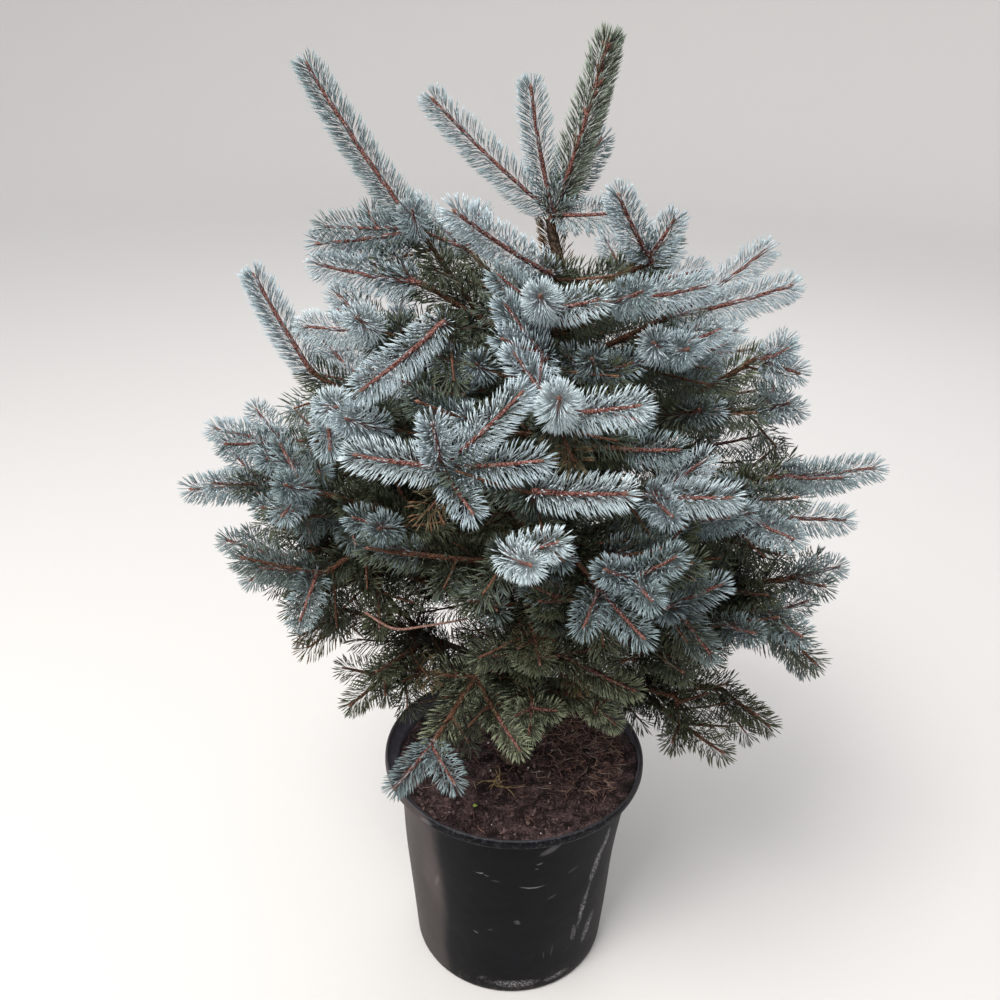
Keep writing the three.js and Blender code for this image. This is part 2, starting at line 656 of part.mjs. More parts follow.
// How far the mass's first shoot starts from the trunk's axis or from its limb's end
function firstOffset(shoot, limb) {
  const along = shoot.points[1].clone().sub(shoot.points[0]).normalize();
  const radius = TWIG_RADII[shoot.age] * CORE_SCALE;
  if (limb) return footOffset(radius, along.angleTo(limb.points[STEPS].clone().sub(limb.points[STEPS - 1])));
  if (shoot.points[0].z >= TRUNK_TIP) return footOffset(radius, Math.PI / 2 - Math.asin(along.z));
  return trunkOffset(shoot.points[0], along, radius, TWIG_SIDES);
}

function massGeometry(name) {
  const own = solidShoots.filter(({ mass }) => mass === name);
  const limb = own.find((shoot) => shoot.limb);
  const needled = own.filter((shoot) => !shoot.limb);
  const twigs = [...new Set(needled.map(({ twig }) => twig))];
  return joinTwigs(twigs.map((twig, index) => {
    const shoots = needled.filter((shoot) => shoot.twig === twig);
    return sprayGeometry(shoots, index === 0 ? firstOffset(shoots[0], limb) : 0);
  }));
}

function limbGeometry({ points, age }) {
  const along = points[1].clone().sub(points[0]).normalize();
  const foot = LIMB_RADII[age - 1];
  const head = TWIG_RADII[age - 1] * CORE_SCALE;
  const path = withoutFoot(points, trunkOffset(points[0], along, foot, LIMB_SIDES));
  return twigGeometry({
    points: spacedPoints(path, LIMB_ROWS),
    radii: Array.from({ length: LIMB_ROWS + 1 }, (_, k) => THREE.MathUtils.lerp(foot, head, k / LIMB_ROWS)),
    sides: LIMB_SIDES,
  });
}

function trunkGeometry() {
  const heights = TRUNK_RADII.map(([z]) => z);
  return twigGeometry({
    points: heights.map((z) => trunkAt(z).add(new THREE.Vector3(0, 0, z === SOIL_LEVEL ? GAP : 0))),
    radii: TRUNK_RADII.map(([, radius]) => radius),
    sides: TRUNK_SIDES,
    level: true,
  });
}

// A solid of revolution round Z from a profile of radius and height
function turned(profile, sides) {
  const geometry = new THREE.LatheGeometry(profile.map(([r, z]) => new THREE.Vector2(r, z)), sides);
  return geometry.rotateX(Math.PI / 2);
}

function bodyRadius(height) {
  return THREE.MathUtils.lerp(POT_BASE_RADIUS, POT_BODY_RADIUS, height / (POT_HEIGHT - POT_LIP_HEIGHT));
}

function potGeometry() {
  const lipFoot = POT_HEIGHT - POT_LIP_HEIGHT;
  return turned([
    [0, 0],
    [POT_BASE_RADIUS - POT_EDGE, 0],
    [POT_BASE_RADIUS, POT_EDGE],
    [POT_BODY_RADIUS, lipFoot],
    [POT_LIP_RADIUS - POT_ROUND, lipFoot + POT_ROUND],
    [POT_LIP_RADIUS, lipFoot + 3 * POT_ROUND],
    [POT_LIP_RADIUS, POT_HEIGHT - 1.5 * POT_ROUND],
    [POT_LIP_RADIUS - POT_ROUND, POT_HEIGHT],
    [POT_LIP_RADIUS - POT_WALL, POT_HEIGHT],
    [POT_LIP_RADIUS - POT_WALL - POT_ROUND, lipFoot + 4 * POT_ROUND],
    [POT_BODY_RADIUS - POT_WALL, lipFoot - 2 * POT_ROUND],
    [bodyRadius(POT_FLOOR) - POT_WALL, POT_FLOOR],
    [0, POT_FLOOR],
  ], POT_SIDES);
}

// The mix is clear of the pot's facets, with a flat middle under the trunk and a lower edge
function soilGeometry() {
  const edge = SOIL_LEVEL - SOIL_DIP;
  const foot = bodyRadius(POT_FLOOR) - POT_WALL - SOIL_CLEARANCE;
  const rim = bodyRadius(edge) - POT_WALL - SOIL_CLEARANCE;
  return turned([
    [0, POT_FLOOR + GAP],
    [foot, POT_FLOOR + GAP],
    [rim, edge],
    [rim - SOIL_SLOPE, (edge + SOIL_LEVEL) / 2],
    [SOIL_FLAT_RADIUS, SOIL_LEVEL],
    [0, SOIL_LEVEL],
  ], SOIL_SIDES);
}

function addPiece(group, name, geometry, [colour, roughness]) {
  const material = new THREE.MeshStandardMaterial({ color: colour, roughness, metalness: 0 });
  const mesh = new THREE.Mesh(geometry, material);
  mesh.name = name;
  group.add(mesh);
}

const plant = new THREE.Group();
addPiece(plant, 'pot', potGeometry(), LOOKS.pot);
addPiece(plant, 'soil', soilGeometry(), LOOKS.soil);
addPiece(plant, 'trunk', trunkGeometry(), LOOKS.trunk);
for (const shoot of crown.shoots.filter(({ limb }) => limb)) {
  addPiece(plant, `bough_${shoot.mass}`, limbGeometry(shoot), LOOKS.bough);
}
for (const { name, height } of BOUGHS.filter(({ parent }) => !parent)) {
  const look = height < DARK_BELOW ? LOOKS.darkFoliage : LOOKS.foliage;
  addPiece(plant, `foliage_${name}`, massGeometry(name), look);
}

export default plant;
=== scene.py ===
"""Looks of a potted blue spruce: the crown grows on from its limbs by the rule that shaped its solids."""

import json
import logging
import math
from dataclasses import dataclass, field, replace
from enum import Enum
from typing import Any, Iterable, Sequence

import bpy
import numpy as np
from mathutils import Matrix, Vector, noise

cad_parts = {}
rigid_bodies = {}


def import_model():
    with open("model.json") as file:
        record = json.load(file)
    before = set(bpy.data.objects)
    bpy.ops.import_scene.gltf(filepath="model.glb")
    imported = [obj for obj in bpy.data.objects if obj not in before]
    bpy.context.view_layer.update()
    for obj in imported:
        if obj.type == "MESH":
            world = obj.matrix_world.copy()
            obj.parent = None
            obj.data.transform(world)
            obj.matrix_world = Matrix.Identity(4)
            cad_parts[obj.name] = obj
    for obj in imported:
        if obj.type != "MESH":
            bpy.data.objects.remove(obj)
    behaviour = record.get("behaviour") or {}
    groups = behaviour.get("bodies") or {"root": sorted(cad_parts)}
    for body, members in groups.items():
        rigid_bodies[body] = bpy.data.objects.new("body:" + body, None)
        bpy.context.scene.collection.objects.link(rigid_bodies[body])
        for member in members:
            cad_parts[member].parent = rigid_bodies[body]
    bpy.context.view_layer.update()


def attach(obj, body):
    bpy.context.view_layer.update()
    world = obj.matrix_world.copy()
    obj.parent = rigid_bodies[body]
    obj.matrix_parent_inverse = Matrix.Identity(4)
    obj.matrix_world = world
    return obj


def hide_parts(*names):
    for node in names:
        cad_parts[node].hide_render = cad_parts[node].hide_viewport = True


log = logging.getLogger("spruce")

MM = 0.001

# Pot and soil, in millimetres as all sizes below
POT_HEIGHT = 252
POT_BASE_RADIUS = 107
POT_BODY_RADIUS = 129
POT_LIP_RADIUS = 140
POT_LIP_HEIGHT = 11
LIP_FOOT = POT_HEIGHT - POT_LIP_HEIGHT
POT_WALL = 2.2
POT_FLOOR = 3
SOIL_LEVEL = 240
SOIL_EDGE = 235

# Trunk: height and x of its bends, and its radius from the root flare to the tip
TRUNK_BENDS = ((240, 2), (450, 10), (650, 22), (770, 27), (812, 16))
TRUNK_TIP = 812
TRUNK_RADII = ((240, 17), (248, 14), (262, 12), (450, 10.5), (650, 8), (770, 5.5), (812, 4))

# Yearly shoots
STEPS = 4
STEM_SHARES = {0: (), 1: (1,), 2: (0.54, 0.46), 3: (0.42, 0.31, 0.27)}
TIP_LIFT = 8
FORK_STEPS = 20

# Side twigs: their rolls to the right and the left, how they leave the twig that bears them, and their
# length as a share of it
BOTH_SIDES = (0, 180)
SIDE_SPREAD = 52
SIDE_SHARE = 0.72
YOUNG_AT_TIP = 0.85
YOUNG_AT_NODE = 0.8
NODE_STEP = 5
LOWEST_RISE = -38
TURN_SPAN = (-10, 10)
OPENING_SPAN = (-6, 6)
SIZE_SPAN = (0.85, 1.12)
LIFT_SPAN = (2, 14)
MISSING_SHARE = 0.45
NUDGES = (0, 22, -22, 40)
NUDGE_OPENING = 0.3

# Space that a twig's axis keeps to other twigs, to the trunk and to the pot's rim
SAMPLE_STEP = 8
NEAR_OTHER = 13
NEAR_OWN = 8
NEAR_TRUNK = 20
JOINT_REACH = 16
RIM_CLEAR_RADIUS = 165
RIM_CLEAR_HEIGHT = 268
LOWEST_TWIG = 200

# Seeded stream of numbers
STREAM_MODULUS = 2147483647
STREAM_FACTOR = 16807
SEED_START = 104729
SEED_STEP = 7919
WARM_UP = 3

# Twigs as they look
LIMB_RADII = (3.4, 4.4, 5.6)
AGE_RADII = (1.9, 2.4, 3.0, 3.8)
GOLDEN_ANGLE = math.radians(137.508)
PATH_STEPS = 5

# Needles: how they part to the sides, stand up and bend, and how their turn, lean and length vary
TURN_SPREAD = 0.3
PARTING = 0.45
UPWARD = 0.3
NEEDLE_BEND = math.radians(5)
STEEP_LEAN = 16
CREST_LEAN = (8, 44)
LEAN_SPREAD = 2.6
SIZE_SPREAD = (0.9, 1.04)
NEEDLE_WIDEST = 0.78
NEEDLE_ROOT = 0.8
NEEDLE_LIFT = 0.06
SECOND_TONE = 0.3

# A needle's five corners: its root, three round its middle, and its apex
NEEDLE_TURNS = (math.pi / 2, math.pi * 7 / 6, math.pi * 11 / 6)
NEEDLE_CORNERS = 5
NEEDLE_FACES = np.array(((0, 2, 1), (0, 3, 2), (0, 1, 3), (1, 2, 4), (2, 3, 4), (3, 1, 4)))

# Needles whose ends would lie lower than this, over the pot, are left out
NEEDLE_FLOOR = SOIL_LEVEL + 4
NEEDLE_RIM = POT_LIP_RADIUS + 3

# Crumbs of the soil are uneven eight-faced lumps
LUMP_CORNERS = np.array(((1, 0, 0), (0, 1, 0), (-1, 0, 0), (0, -1, 0), (0, 0, 1), (0, 0, -1)), dtype=float)
LUMP_FACES = np.array((
    (0, 1, 4), (1, 2, 4), (2, 3, 4), (3, 0, 4), (1, 0, 5), (2, 1, 5), (3, 2, 5), (0, 3, 5),
))

MOST_TRIANGLES = 190000


def unit(vectors: np.ndarray) -> np.ndarray:
    """Vectors scaled to a length of 1."""
    return vectors / np.maximum(np.linalg.norm(vectors, axis=-1, keepdims=True), 1e-9)


def heading(azimuth: float, rise: float) -> np.ndarray:
    """Unit vector from an azimuth and a rise in degrees."""
    a, e = math.radians(azimuth), math.radians(rise)
    return np.array((math.cos(a) * math.cos(e), math.sin(a) * math.cos(e), math.sin(e)))


def side_heading(azimuth: float, rise: float, spread: float, roll: float) -> tuple[float, float]:
    """Heading of a twig that leaves another.

    Args:
        azimuth: Azimuth of the twig that bears it, in degrees.
        rise: Rise of the twig that bears it.
        spread: Angle between the two.
        roll: Turn round the bearing twig: 0 to the right, 90 up, 180 to the left.

    Returns:
        Azimuth and rise in degrees.
    """
    a, s, r = math.radians(azimuth), math.radians(spread), math.radians(roll)
    along = heading(azimuth, rise)
    right = np.array((math.sin(a), -math.cos(a), 0))
    up = np.cross(right, along)
    x, y, z = along * math.cos(s) + math.sin(s) * (right * math.cos(r) + up * math.sin(r))
    return math.degrees(math.atan2(y, x)), math.degrees(math.atan2(z, math.hypot(x, y)))


def axis_points(
    start: np.ndarray, azimuth: float, rise: float, arch: float, length: float, t0: float = 0, t1: float = 1
) -> np.ndarray:
    """Points of a curved axis, which is all of a stem or a share of it.

    Args:
        start: Its first point.
        azimuth: Azimuth of the stem in degrees.
        rise: Its rise half way along.
        arch: How much its rise grows from its foot to its end.
        length: Its length.
        t0: Share of the stem at which the axis starts.
        t1: Share of the stem at which it ends.

    Returns:
        The points in order.
    """
    points = [start]
    for k in range(STEPS):
        t = t0 + (t1 - t0) * (k + 0.5) / STEPS
        points.append(points[-1] + heading(azimuth, rise + arch * (t - 0.5)) * (length * (t1 - t0) / STEPS))
    return np.array(points)


def read_off(table: Sequence[tuple[float, float]], height: np.ndarray | float) -> np.ndarray | float:
    """Value at a height, from a table of heights and values."""
    return np.interp(height, *zip(*table))


def trunk_x(height: np.ndarray | float) -> np.ndarray | float:
    """Where the trunk's middle lies along X at a height."""
    return read_off(TRUNK_BENDS, height)


def trunk_radius(height: np.ndarray | float) -> np.ndarray | float:
    """Radius of the trunk at a height."""
    return read_off(TRUNK_RADII, height)


def trunk_at(height: float) -> np.ndarray:
    """Middle of the trunk at a height."""
    return np.array((float(trunk_x(height)), 0.0, height))


def body_radius(height: float) -> float:
    """Outer radius of the pot's body at a height."""
    return POT_BASE_RADIUS + (POT_BODY_RADIUS - POT_BASE_RADIUS) * height / LIP_FOOT


def wall_inside(height: float) -> float:
    """Inner radius of the pot's body at a height."""
    return body_radius(height) - POT_WALL


def ring_angles(sides: int) -> np.ndarray:
    """Angles of the points of a ring, in radians."""
    return np.arange(sides) * (2 * math.pi / sides)


def ring_points(radii: np.ndarray, height: np.ndarray, sides: int) -> np.ndarray:
    """Points of level rings round the upright axis, from radii and heights in rows of rings."""
    angle = ring_angles(sides)
    return np.stack(np.broadcast_arrays(radii * np.cos(angle), radii * np.sin(angle), height), axis=2)


def ring_faces(rings: int, sides: int, spreading: bool = False) -> np.ndarray:
    """Four-cornered faces that join rings of points, one ring to the next.

    Args:
        rings: Number of rings.
        sides: Number of points in a ring.
        spreading: Whether the rings spread from a middle and are seen from above, and don't climb.

    Returns:
        Corners of each face.
    """
    row = np.arange(rings - 1)[:, None] * sides
    here, after = row + np.arange(sides), row + (np.arange(sides) + 1) % sides
    above, above_after = here + sides, after + sides
    corners = (here, above, above_after, after) if spreading else (here, after, above_after, above)
    return np.stack(corners, axis=2).reshape(-1, 4)


def link(name: str, data: Any) -> bpy.types.Object:
    """Makes an object and links it into the scene.

    Args:
        name: Its name.
        data: Its mesh, lamp or camera.

    Returns:
        The object.
    """
    made = bpy.data.objects.new(name, data)
    bpy.context.scene.collection.objects.link(made)
    return made


class Stream:
    """Seeded stream of numbers from 0 to 1, the same as the one that grew the solids."""

    def __init__(self, seed: int) -> None:
        """Starts the stream.

        Args:
            seed: The bough's number.
        """
        self.state = (seed * SEED_STEP + SEED_START) % STREAM_MODULUS
        for _ in range(WARM_UP):
            self.next()

    def next(self) -> float:
        """Next number."""
        self.state = self.state * STREAM_FACTOR % STREAM_MODULUS
        return self.state / STREAM_MODULUS

    def span(self, limits: tuple[float, float]) -> float:
        """Next number between two limits."""
        return limits[0] + (limits[1] - limits[0]) * self.next()


@dataclass(frozen=True)
class Arm:
    """A young shoot beside a bough's tip, and how far along the tip it leaves."""

    azimuth: float
    rise: float
    length: float
    along: float = NODE_STEP


@dataclass(frozen=True)
class Bough:
    """A bough: where it leaves the trunk or its parent, its stem, and this year's shoot on its end."""

    name: str
    height: float
    azimuth: float
    rise: float
    length: float
    years: int
    tip: tuple[float, float, float]
    arch: float = 0
    rolls: tuple[float, ...] = BOTH_SIDES
    spread: float = SIDE_SPREAD
    arms: tuple[Arm, ...] = ()
    limb: bool = False
    parent: str = ""
    share: float = 0

    @property
    def mass(self) -> str:
        """Foliage mass that the bough belongs to."""
        return self.parent or self.name


def fork(
    name: str, parent: str, share: float, azimuth: float, rise: float, length: float, years: int,
    tip: tuple[float, float, float], **options: Any,
) -> Bough:
    """A bough that forks from another at a share of its stem."""
    return Bough(name, 0, azimuth, rise, length, years, tip, parent=parent, share=share, **options)


# The crown from its top down, first what faces the viewer and then the back
BOUGHS = (
    Bough("crown_top", 812, 5, 76, 0, 0, (5, 74, 142), rolls=(),
          arms=(Arm(-156, 76, 98, 8), Arm(180, 41, 130, 7), Arm(50, 40, 80, 9), Arm(-40, 8, 60, 6))),
    Bough("spire", 640, -174, 55, 196, 1, (170, 54, 156), limb=True, rolls=(),
          arms=(Arm(180, -1, 76, 8), Arm(-176, -8, 84), Arm(-92, 28, 44, 6))),
    Bough("front_top", 738, -97, 30, 95, 1, (-146, 32, 102), rolls=()),
    Bough("right_spike", 745, -46, 27, 110, 1, (-145, 54, 64), rolls=(), arms=(Arm(-30, 60, 34),)),
    Bough("front_high", 690, -97, 34, 135, 1, (-96, 24, 60)),
    fork("front_right_high", "front_high", 0.5, -60, 32, 88, 1, (7, 9, 76), rolls=(),
         arms=(Arm(-70, 22, 50),)),
    Bough("right_long", 680, -24, 32, 118, 1, (0, 16, 102), rolls=(), arms=(Arm(26, 28, 100),)),
    Bough("left_high", 690, -165, 32, 140, 1, (174, 8, 86), rolls=(0,), arms=(Arm(150, 14, 74),)),
    Bough("left_mid", 620, -157, 36, 190, 2, (-172, 4, 60)),
    fork("left_droop", "left_mid", 0.5, -101, 43, 116, 1, (-135, -24, 86), rolls=()),
    Bough("high_rosette", 640, -53, 35, 165, 2, (-78, 18, 52)),
    Bough("front_b", 640, -94, 34, 172, 2, (176, 52, 50), rolls=(0, 270)),
    Bough("left_hook", 560, -164, 33, 246, 2, (178, 62, 88), limb=True, rolls=(), arch=10),
    fork("left_rosette", "left_hook", 0.58, -128, 27, 110, 1, (-70, 20, 58), rolls=(180,)),
    Bough("far_left", 520, 180, 20, 248, 3, (172, 6, 70), limb=True, rolls=(180,), arms=(Arm(130, 16, 54),)),
    Bough("front_a", 590, -90, 32, 235, 2, (-93, 30, 64), limb=True, spread=60),
    Bough("right_green", 565, -12, 38, 232, 2, (-34, -8, 36), limb=True, spread=38),
    fork("right_b", "right_green", 0.58, 14, 0, 98, 1, (-70, 26, 42)),
    Bough("front_star", 545, -111, 30, 252, 2, (-100, 58, 54), limb=True, rolls=(),
          arms=(Arm(-165, 13, 62), Arm(-20, 13, 74), Arm(-8, 47, 80), Arm(-56, -26, 44))),
    Bough("front_mid", 520, -93, 33, 266, 2, (-18, 8, 64), limb=True, rolls=()),
    fork("front_r", "front_mid", 0.58, -24, 20, 96, 1, (-14, 6, 64)),
    Bough("far_left_low", 470, -176, 22, 268, 3, (180, -6, 72), limb=True),
    fork("far_left_c", "far_left_low", 0.46, -163, -4, 126, 2, (170, 12, 54)),
    Bough("rosette_low_left", 490, -151, 28, 252, 2, (-98, 28, 52), limb=True),
    fork("low_left", "rosette_low_left", 0.58, -146, -18, 92, 1, (-163, 20, 68)),
    Bough("right_wide", 500, -5, 22, 238, 3, (0, 7, 88), limb=True, rolls=(0,)),
    Bough("right_low_front", 470, -24, 30, 220, 2, (-6, 0, 90), limb=True),
    Bough("front_low", 470, -97, 33, 260, 2, (-74, 20, 60), rolls=(180,)),
    Bough("low_left_b", 345, -167, 30, 205, 2, (-168, -28, 50), arch=-10),
    fork("low_left_c", "low_left_b", 0.45, -134, 4, 78, 1, (-154, -34, 46)),
    Bough("right_low", 420, -12, 18, 256, 3, (10, 10, 50), limb=True),
    Bough("right_droop", 390, -20, 22, 248, 3, (-12, -52, 70), limb=True, arch=-16, rolls=(0, 180, 270)),
    Bough("right_fan", 396, -57, 37, 252, 2, (-36, -42, 54), arch=-16),
    Bough("front_low_r", 420, -71, 37, 282, 3, (-138, 30, 40), limb=True, rolls=(),
          arms=(Arm(-44, 42, 46), Arm(-80, 10, 44))),
    Bough("front_base", 378, -74, 33, 118, 2, (-24, -14, 76)),
    Bough("pot_rim", 432, -124, -24, 168, 2, (-143, -38, 54), arch=-10, rolls=(180,), spread=62),
    Bough("low_front", 345, -86, 24, 118, 2, (-98, -30, 30), arch=-24),
    fork("low_front_r", "low_front", 0.45, -38, 10, 76, 1, (-30, -30, 30)),
    fork("low_front_l", "low_front", 0.5, 175, 8, 60, 1, (168, -24, 30)),
    Bough("right_bottom", 335, -11, 8, 206, 2, (-10, -36, 62), arch=-20, rolls=(0,)),
    fork("right_bottom_b", "right_bottom", 0.5, -56, 20, 88, 1, (-58, -72, 30), rolls=(180,)),
    Bough("back_high_l", 700, 135, 32, 130, 1, (140, 26, 78)),
    Bough("back_high_r", 690, 52, 22, 125, 1, (46, 18, 76)),
    Bough("back_mid", 610, 96, 26, 190, 2, (92, 22, 78)),
    Bough("back_mid_r", 590, 40, 20, 200, 2, (36, 12, 76)),
    Bough("back_mid_l", 600, 144, 22, 195, 2, (148, 14, 76)),
    Bough("back_wide", 500, 90, 20, 235, 3, (88, 14, 76), limb=True),
    Bough("back_wide_l", 490, 130, 18, 240, 3, (132, 10, 76), limb=True),
    Bough("back_wide_r", 480, 56, 16, 240, 3, (50, 8, 76)),
    Bough("back_low_l", 400, 150, 12, 220, 3, (152, 4, 56)),
    Bough("back_low", 390, 104, 12, 228, 3, (104, 4, 58)),
    Bough("back_low_r", 380, 30, 10, 230, 3, (28, 2, 58)),
)

# How much more or less silvery the needles of some masses are than their height and reach make them, partly
# their own bloom and partly painted light (as on pot_rim) and painted shade (as on right_bottom and
# low_front)
FROST_AND_PAINTED_LIGHT_BY_MASS = {
    "pot_rim": 0.58, "right_droop": 0.2, "right_fan": 0.08, "front_low": 0.24, "front_mid": 0.1,
    "right_bottom": -0.3, "low_left_b": -0.15, "low_front": -0.3, "front_base": -0.12, "front_low_r": 0.02,
    "left_hook": 0.02, "spire": -0.14,
}
# These offsets show from this distance off the axis, and nearer it only those that darken; side twigs from
# older nodes get painted shade
FROST_REACH = 165
SIDE_SHADE = 0.13
SIDE_SHADE_BY_MASS = {
    "front_low": 0.6, "front_low_r": 0.6, "right_green": 0.6, "left_mid": 0.5, "front_a": 0.3,
}
# Masses with many dry needles, and masses whose older needles, and young ones near the axis, get painted
# light as a lighter green
WITHERED = ("low_left_b",)
LIT = ("pot_rim", "right_green", "right_wide", "low_front", "low_front_r", "front_base")

# How light a spray is, partly its own bloom and partly painted light and shade: lighter for its height and
# its distance off the axis, each from a start over a span, painted shade for a twig of a higher order or a
# steep one, with its seeded spread
LIGHT_HEIGHT = (390, 280)
LIGHT_REACH = (60, 200)
LIGHT_BY_HEIGHT = 0.7
LIGHT_BY_REACH = 0.19
LIGHT_BY_ORDER = 0.2
LIGHT_BY_SLOPE = 0.18
LIGHT_SPREAD = 0.09
# Least painted light of an unshaded young spray at the top
TOP_LIGHT = 0.42
# Older needles: their share of that light, what each year takes, and the painted light that a low main stem
# gains
OLD_LIGHT = 0.8
YEAR_SHADE = 0.12
STEM_LIGHT = 0.34
# Share of dry sprays in a withered mass, and elsewhere for each year of age
WITHERED_SHARE = 0.6
DRY_SHARE = 0.06


@dataclass(frozen=True)
class Shoot:
    """One year's growth on a twig: its axis, age in years, order of branching and mass."""

    twig: int
    points: np.ndarray
    age: int
    order: int
    mass: str
    limb: bool = False

    @property
    def node(self) -> str:
        """Node of its mass."""
        return f"foliage_{self.mass}"

    @property
    def is_leader(self) -> bool:
        """Whether it is the leader."""
        return self.mass == "crown_top" and self.order == 0


@dataclass(frozen=True)
class Fork:
    """A place where side twigs leave: a point, the bearing twig's heading, their order and mass."""

    point: np.ndarray
    azimuth: float
    rise: float
    order: int
    mass: str


@dataclass(frozen=True)
class SideTwig:
    """A side twig: its heading, its lift from foot to end, the length and years of its old wood, and the
    length of its young end.
    """

    azimuth: float
    rise: float
    lift: float
    length: float
    years: int
    young: float


@dataclass
class Crown:
    """The whole crown, grown as a list of shoots by the rule that shaped the solids."""

    boughs: Sequence[Bough]
    shoots: list[Shoot] = field(default_factory=list)
    twigs: int = 0
    placed: np.ndarray = field(default_factory=lambda: np.empty((0, 3)))
    owners: list[str] = field(default_factory=list)

    def grow(self) -> None:
        """Grows every bough's stem, then the side twigs of each."""
        nodes = [self._grow_stem(bough) for bough in self.boughs]
        for index, bough in enumerate(self.boughs):
            self._grow_sides(bough, nodes[index], Stream(index + 1))

    def _samples(self, points: np.ndarray) -> np.ndarray:
        """Points along an axis at steps of at most SAMPLE_STEP.

        Args:
            points: Points of the axis.

        Returns:
            The samples in order, without the axis's first point.
        """
        out = []
        for a, b in zip(points[:-1], points[1:]):
            count = max(1, math.ceil(float(np.linalg.norm(b - a)) / SAMPLE_STEP))
            out.extend(a + (b - a) * (k / count) for k in range(1, count + 1))
        return np.array(out)

    def _add(self, shoot: Shoot) -> None:
        """Adds a yearly shoot and takes the space that it stands in.

        Args:
            shoot: The shoot.
        """
        samples = self._samples(shoot.points)
        self.shoots.append(shoot)
        self.placed = np.concatenate((self.placed, samples))
        self.owners.extend([shoot.mass] * len(samples))

    def _new_twig(self) -> int:
        """Number of a new twig."""
        self.twigs += 1
        return self.twigs

    def _is_clear(self, points: np.ndarray, mass: str) -> bool:
        """Whether a new axis keeps its distance to the pot, the trunk and every twig that stands.

        Args:
            points: Points of the axis.
            mass: Foliage mass that it would join.

        Returns:
            True where it is clear.
        """
        p = self._samples(points)
        height = p[:, 2]
        over_pot = (height < RIM_CLEAR_HEIGHT) & (np.hypot(p[:, 0], p[:, 1]) < RIM_CLEAR_RADIUS)
        aside = np.hypot(p[:, 0] - trunk_x(height), p[:, 1])
        near_trunk = (height < TRUNK_TIP + NEAR_TRUNK) & (aside < NEAR_TRUNK)
        if np.any(over_pot | near_trunk | (height < LOWEST_TWIG)):
            return False
        distance = np.linalg.norm(p[:, None] - self.placed[None], axis=2)
        own = np.array(self.owners) == mass
        if np.any(distance[:, ~own] < NEAR_OTHER):
            return False
        far = np.linalg.norm(p - points[0], axis=1) > JOINT_REACH
        apart = np.linalg.norm(self.placed - points[0], axis=1) > JOINT_REACH
        return not np.any((distance < NEAR_OWN) & far[:, None] & (own & apart)[None])

    def _stem_start(self, bough: Bough) -> np.ndarray:
        """Where a bough leaves the trunk or its parent.

        Args:
            bough: The bough.

        Returns:
            The point.
        """
        if not bough.parent:
            return trunk_at(bough.height)
        parent = next(other for other in self.boughs if other.name == bough.parent)
        point = trunk_at(parent.height)
        for k in range(FORK_STEPS):
            t = bough.share * (k + 0.5) / FORK_STEPS
            step = parent.length * bough.share / FORK_STEPS
            point = point + heading(parent.azimuth, parent.rise + parent.arch * (t - 0.5)) * step
        return point

    def _grow_stem(self, bough: Bough) -> list[tuple[np.ndarray, float, int]]:
        """Grows a bough's stem, its tip and the arms beside it.

        Args:
            bough: The bough.

        Returns:
            Its nodes: point, share of the stem that lies behind, and years that lie ahead.
        """
        point, done, twig = self._stem_start(bough), 0.0, self._new_twig()
        nodes = []
        for year, share in enumerate(STEM_SHARES[bough.years]):
            ends = (done, done + share)
            points = axis_points(point, bough.azimuth, bough.rise, bough.arch, bough.length, *ends)
            self._add(Shoot(twig, points, bough.years - year, 0, bough.mass, bough.limb and year == 0))
            done += share
            point = points[-1]
            nodes.append((point, done, bough.years - 1 - year))
        azimuth, rise, length = bough.tip
        self._add(Shoot(twig, axis_points(point, azimuth, rise, TIP_LIFT, length), 0, 0, bough.mass))
        for arm in bough.arms:
            foot = point + heading(azimuth, rise) * arm.along
            points = axis_points(foot, arm.azimuth, arm.rise, TIP_LIFT, arm.length)
            self._add(Shoot(self._new_twig(), points, 0, 1, bough.mass))
        return nodes

    def _grow_sides(
        self, bough: Bough, nodes: Sequence[tuple[np.ndarray, float, int]], stream: Stream
    ) -> None:
        """Grows the side twigs at each node of a bough's stem.

        Args:
            bough: The bough.
            nodes: Its nodes.
            stream: Its seeded numbers.
        """
        for point, done, left in nodes:
            slope = bough.rise + bough.arch * (done - 0.5)
            along = heading(bough.azimuth, slope) if left else heading(*bough.tip[:2])
            start = Fork(point + along * NODE_STEP, bough.azimuth, slope, 1, bough.mass)
            rest = bough.length * (1 - done) * SIDE_SHARE if left else 0
            spread = SIDE_SPREAD if left else bough.spread
            young = bough.tip[2] * (YOUNG_AT_NODE if left else YOUNG_AT_TIP)
            for roll in BOTH_SIDES if left else bough.rolls:
                self._grow_side(stream, start, spread, roll, rest, left, young)

    def _grow_side(
        self, stream: Stream, start: Fork, spread: float, roll: float, length: float, years: int,
        young: float,
    ) -> None:
        """Grows one side twig with its yearly shoots, turned aside where another twig is in its way.

        Args:
            stream: Its bough's seeded numbers.
            start: Where it leaves.
            spread: Angle between it and the twig that bears it.
            roll: Turn round the bearing twig.
            length: Length of its old wood, before its seeded size.
            years: Years of its old wood.
            young: Length of its young end, before its seeded size.
        """
        turn, opening = stream.span(TURN_SPAN), stream.span(OPENING_SPAN)
        size, lift = stream.span(SIZE_SPAN), stream.span(LIFT_SPAN)
        chance = stream.next()
        if start.order >= 2 and chance < MISSING_SHARE:
            return
        for nudge in NUDGES:
            angle = spread + opening + nudge * NUDGE_OPENING
            azimuth, rise = side_heading(start.azimuth, start.rise, angle, roll + turn + nudge)
            side = SideTwig(azimuth, max(rise, LOWEST_RISE), lift, length, years, young)
            parts = self._side_parts(start, side, size)
            if parts:
                twig = self._new_twig()
                for points, age in parts:
                    self._add(Shoot(twig, points, age, start.order, start.mass))
                self._grow_side_nodes(stream, start, side, [points[-1] for points, _ in parts])
                return

